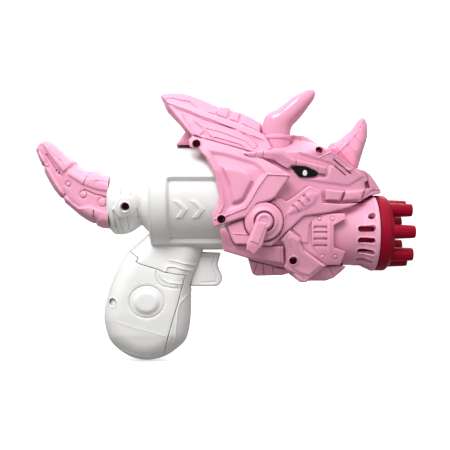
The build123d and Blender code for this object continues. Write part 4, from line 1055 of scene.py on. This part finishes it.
def smooth_rows(rows, count):
    """Catmull-Rom rows between the given ones."""
    a = np.array(rows, float)
    out = []
    for i in range(len(a) - 1):
        p0, p1, p2, p3 = a[max(i - 1, 0)], a[i], a[i + 1], a[min(i + 2, len(a) - 1)]
        for k in range(count):
            t = k / count
            out.append(0.5 * (2 * p1 + (p2 - p0) * t + (2 * p0 - 5 * p1 + 4 * p2 - p3) * t * t
                              + (3 * p1 - p0 - 3 * p2 + p3) * t ** 3))
    return out + [a[-1]]


def horn_mesh(sections, centre_y):
    """Horn through sections of (x, z, lean in degrees, half height, half width), each a squared circle."""
    verts, count, power = [], 56, 2.3
    rows = smooth_rows(sections, 5)
    for x, z, lean, tall, wide in rows:
        up = math.radians(lean) + math.pi / 2
        for i in range(count):
            angle = 2 * math.pi * i / count
            c, s = math.cos(angle), math.sin(angle)
            grow = 1 / (abs(c) ** power + abs(s) ** power) ** (1 / power)
            verts.append((x + tall * grow * c * math.cos(up), centre_y + wide * grow * s,
                          z + tall * grow * c * math.sin(up)))
    return verts, tube_faces(len(rows), count)


def upright(centre_x, centre_y):
    return lambda z, y, x: (centre_x + x, centre_y + y, z)


socket_profile = arcs([(102.0, 5.0, 0), (102.0, 10.2, 0.3), (109.8, 10.0, 0.2), (110.6, 10.7, 0.4),
                       (112.6, 10.6, 0.9), (113.4, 9.4, 0.5), (112.8, 8.6, 0), (112.8, 5.0, 0)], 4)
HORN_Y, HORN_SHARP = 13.0, math.radians(50)
for side, label in SIDES:
    build(f"horn_{label}", *horn_mesh(HORN, side * HORN_Y), as_is, True, "root", f"brow_horn_{label}",
          "horn_pink", HORN_SHARP)
    build(f"horn_ring_{label}", *lathe(socket_profile, 0.0, 0.0, 72), upright(88.6, side * HORN_Y), True,
          "root", f"horn_socket_{label}", "pink_shell")

NOSE = curve([(124, 104.5), (127.5, 110.3), (131.5, 111.2), (136.5, 114.5), (142, 119.2), (144.5, 122),
              (147, 125.5), (148.6, 127.2), (150.5, 127.6), (152, 126.7), (153.3, 123), (153.6, 118.5),
              (153, 112.5), (151, 106.5), (149, 100), (146, 90), (140.5, 90.5), (133, 97.5), (124, 104.5)],
             rounds=1, step=1.3)[:-1]
nose_half = across([(9.5, 88), (8.6, 104), (5.5, 116), (2.6, 128)])
NOSE_RADIUS = 7.0
nose_mid = [(131, 102), (139, 109.5), (145.5, 117), (150, 125)]
nose_marks = [
    groove(nose_mid, 1.0, -0.5), groove([(134, 112.8), (148.4, 98.5)], 0.9, -0.45),
    groove([(140.2, 117.8), (151.2, 106.5)], 0.9, -0.45), groove([(127.6, 110), (143, 92.5)], 0.9, -0.45),
    groove([(145.4, 123), (153, 114.5)], 0.8, -0.4)]
nose_top = lifted(swell(NOSE, nose_half, NOSE_RADIUS, True), nose_marks,
                  lambda p: np.clip(depth(p, ccw(NOSE)) / 2, 0, 1))
nose = panel(NOSE, at_least(nose_top, 0.0), None,
             rows_of(nose_marks) + swell_rows(ccw(NOSE), NOSE_RADIUS, True), step=1.3, twin=True)
build("nose_horn_skin", *nose, side_on(RIGHT), False, "root", "nose_horn", "horn_pink", HORN_SHARP)

# ---------------------------------------------------------------- muzzle, turned about the fan's axis
AXIS_Z = 46.9
SECTORS = 18
SECTOR = 2 * math.pi / SECTORS
SLOT_PHASE = math.radians(8)
MUZZLE_ARC = 22.4
MUZZLE = [(106, 22.4), (147.5, 22.4), (152.4, 24.9), (153.8, 25.0), (154.9, 26.5), (158, 26.5)]
muzzle_skin = softened(MUZZLE, 0.35)
half_arc = SECTOR * MUZZLE_ARC / 2
sector_loop = [(106, -half_arc), (157.3, -half_arc), (157.3, half_arc), (106, half_arc)]
muzzle_rows = [([(x, -half_arc), (x, half_arc)], False) for x in (146.8, 148.2, 153.2, 154, 156.6, 157.0)]


def lip_skin(p):
    """The muzzle's profile, with the mouth's edge rounded."""
    past = np.clip((p[:, 0] - 156.4) / 0.9, 0, 1)
    return muzzle_skin(p) - 0.9 * (1 - np.sqrt(np.maximum(1 - past ** 2, 0)))


def open_sides(a, b):
    return all(abs(abs(q[1]) - half_arc) < 1e-4 for q in (a, b))


def muzzle_sector(slot):
    """One of the equal parts around the muzzle, with or without a slot along it."""
    hole = capsule((slot[0], 0), (slot[1], 0), 2.05, 7) if slot else None
    details = [groove(hole, 1.3, -0.3, True)] if hole else []
    rows = muzzle_rows + [r for d in details for r in d.rows[3:5]]
    return panel(sector_loop, lifted(lip_skin, details), level(20.0), rows, [hole] if hole else [], step=1.3,
                 under=2.6, open_side=open_sides)


LONG_SLOT, SHORT_SLOT = (144.6, 152.2), (151.6, 152.4)
sectors = [muzzle_sector(slot) for slot in (LONG_SLOT, SHORT_SLOT, None)]
all_verts, all_faces = [], []
for i in range(SECTORS):
    base = len(all_verts)
    turn = i * SECTOR + SLOT_PHASE
    lean = math.degrees(turn)
    verts, faces = sectors[2 if 40 < lean < 140 else 1 if 20 < lean < 160 else 0]
    all_verts += [(x, -h * math.cos(s / MUZZLE_ARC + turn), AXIS_Z + h * math.sin(s / MUZZLE_ARC + turn))
                  for x, s, h in verts]
    all_faces += [[base + v for v in f] for f in faces]
build("muzzle", all_verts, all_faces, as_is, False, "root", "muzzle_barrel", "pink_shell")


# ---------------------------------------------------------------- nozzle head
def nozzle_part(name, shape, node, place=as_is):
    build(name, *shape, place, False, "nozzle_head", node, "crimson_plastic")


ring_profile = arcs([(157.7, 16.0, 0), (157.7, 26.2, 0.5), (163.9, 26.3, 0.7), (167.2, 23.1, 0.8),
                     (167.2, 22.2, 0), (165.2, 22.2, 0), (165.2, 16.0, 0)], 5)
nozzle_part("ring_rim", lathe(ring_profile, AXIS_Z, count=128), "nozzle_ring")
NOZZLES, NOZZLE_PITCH_R, NOZZLE_TURN = 7, 19.2, 3.2
nozzle_at = []
for i in range(NOZZLES):
    angle = math.radians(180 - NOZZLE_TURN - i * 360 / NOZZLES)
    nozzle_at.append((NOZZLE_PITCH_R * math.cos(angle), NOZZLE_PITCH_R * math.sin(angle)))
face_loop = circle(0, 0, 23.0, 96)
face_holes = [circle(y, z, 4.0, 32) for y, z in nozzle_at]
face_details = [disc(0, 0, 13.0, 0.9, 0.8, 0.2, 56), disc(0, 0, 4.2, 1.2, 1.0, 0.2, 32), rim(face_loop, 0.3)]
for a in [math.pi * k / 4 for k in range(8)]:
    spoke = [(r * math.cos(a), r * math.sin(a)) for r in (9.0, 5.6)]
    face_details.append(groove(spoke, 1.0, 0.5))
ring_face = panel(face_loop, lifted(level(167.3), face_details), level(165.0), rows_of(face_details),
                  face_holes, step=1.5, under=3.0)
nozzle_part("ring_face", ring_face, "nozzle_ring", lambda u, v, h: (h, u, AXIS_Z + v))
drum_profile = arcs([(132, 17.5, 0), (132, 19.3, 0.4), (159.3, 19.3, 0.4), (159.3, 17.5, 0),
                     (156.5, 17.5, 0)], 3)
drum_profile += [(150, 17.5), (140, 17.5)]
drum = lathe(drum_profile, AXIS_Z, count=108, wave=lambda x, r,
             a: 1 + (0.008 if r > 19.2 and math.cos(27 * a) > 0.3 else 0))
nozzle_part("drum", drum, "nozzle_drum")
tube_profile = arcs([(163.5, 3.3, 0), (163.5, 4.95, 0), (168.2, 4.95, 0.3), (179.2, 4.5, 1.5),
                     (181.4, 4.2, 1.3), (181.4, 3.4, 0.3), (180.6, 3.25, 0)], 5)


def ribs(x, r, angle):
    """Flutes around a nozzle that run out at both of its ends."""
    start, end = min(1, max(0, (x - 169.2) / 1.5)), min(1, max(0, (180.6 - x) / 1.5))
    return 1 - 0.03 * (0.5 - 0.5 * math.cos(14 * angle)) ** 0.7 * (r > 4.3) * start * end


tube_profile = [q for a, b in zip(tube_profile, tube_profile[1:] + tube_profile[:1])
                for q in dense([a, b], 2.2)[:-1]]
for i, (y, z) in enumerate(nozzle_at):
    nozzle_part(f"nozzle_{i + 1}", lathe(tube_profile, AXIS_Z + z, y, 96, ribs), "nozzle_tubes")

# ---------------------------------------------------------------- floor, light, camera
scene = bpy.context.scene


def pale(name, colour, glow):
    mat = bpy.data.materials.new(name)
    mat.use_nodes = True
    skin = mat.node_tree.nodes["Principled BSDF"]
    skin.inputs["Base Color"].default_value = (*colour, 1)
    skin.inputs["Emission Color"].default_value = (1, 1, 1, 1)
    skin.inputs["Emission Strength"].default_value = glow
    cloud = mat.node_tree.nodes.new("ShaderNodeTexNoise")
    cloud.inputs["Scale"].default_value = 4.0
    rough = ranged(mat.node_tree, cloud.outputs["Fac"], 0.0, 1.0, 0.88, 0.92)
    mat.node_tree.links.new(rough, skin.inputs["Roughness"])
    return mat


FLOOR_GAP, FLOOR_R, FLOOR_SIDES = 0.0014, 4.0, 48
floor_z = CAD_BOX[0][2] - FLOOR_GAP
around = [(math.cos(math.pi * i / 24), math.sin(math.pi * i / 24)) for i in range(FLOOR_SIDES)]


def stage_piece(name, verts, faces, material):
    mesh = bpy.data.meshes.new(name)
    mesh.from_pydata(verts, [], faces)
    mesh.materials.append(material)
    return bpy.data.objects.new(name, mesh)


floor = stage_piece("floor", [(FLOOR_R * x, FLOOR_R * y, floor_z) for x, y in around],
                    [list(range(FLOOR_SIDES))], pale("floor_pale", (0.93, 0.93, 0.93), 0.5))
climbs = [(FLOOR_R * math.cos(t), FLOOR_R * math.sin(t)) for t in (0.0, 0.3, 0.6, 0.9, 1.2, 1.5)]
backdrop = stage_piece("backdrop", [(x * r, y * r, floor_z + h) for r, h in climbs for x, y in around],
                       tube_faces(len(climbs), FLOOR_SIDES, False),
                       pale("backdrop_pale", (0.9, 0.9, 0.9), 1.0))
for item in (floor, backdrop):
    scene.collection.objects.link(item)
    item.visible_diffuse = False
    item.visible_glossy = False
    item.visible_shadow = False

world = bpy.data.worlds.new("studio")
scene.world = world
world.use_nodes = True
tree = world.node_tree
tree.nodes.clear()
coord = tree.nodes.new("ShaderNodeTexCoord")
axes = tree.nodes.new("ShaderNodeSeparateXYZ")
sky = tree.nodes.new("ShaderNodeMix")
sky.data_type = "RGBA"
sky.inputs["A"].default_value = (0.39, 0.37, 0.36, 1)
sky.inputs["B"].default_value = (0.95, 0.95, 0.96, 1)
glow = tree.nodes.new("ShaderNodeBackground")
glow.inputs["Strength"].default_value = 0.7
out = tree.nodes.new("ShaderNodeOutputWorld")
tree.links.new(coord.outputs["Generated"], axes.inputs[0])
tree.links.new(ranged(tree, axes.outputs["Z"], -0.45, 0.55, 0.0, 1.0), sky.inputs["Factor"])
tree.links.new(sky.outputs["Result"], glow.inputs["Color"])
tree.links.new(glow.outputs[0], out.inputs[0])


MIDDLE = Vector((0.05, 0.0, 0.05))


def lamp(name, place, size, power):
    data = bpy.data.lights.new(name, "AREA")
    data.shape = "RECTANGLE"
    data.size, data.size_y = size
    data.energy = power
    data.spread = math.pi
    item = bpy.data.objects.new(name, data)
    scene.collection.objects.link(item)
    item.location = place
    item.rotation_euler = (MIDDLE - Vector(place)).to_track_quat("-Z", "Y").to_euler()
    return item


lamp("key", (-0.14, -0.48, 0.62), (0.5, 0.3), 5.5)
lamp("top", (0.1, 0.05, 0.8), (0.8, 0.5), 1.2)
lamp("far", (0.2, 0.7, 0.5), (0.6, 0.6), 3.0)

eye = bpy.data.cameras.new("camera")
eye.lens = 54.8
eye.sensor_width = 36.0
eye.clip_start = 0.01
camera = bpy.data.objects.new("camera", eye)
scene.collection.objects.link(camera)
camera.location = (0.0539, -0.4795, 0.0525)
camera.rotation_euler = (math.radians(90), 0, 0)
scene.camera = camera
scene.view_settings.view_transform = "Standard"
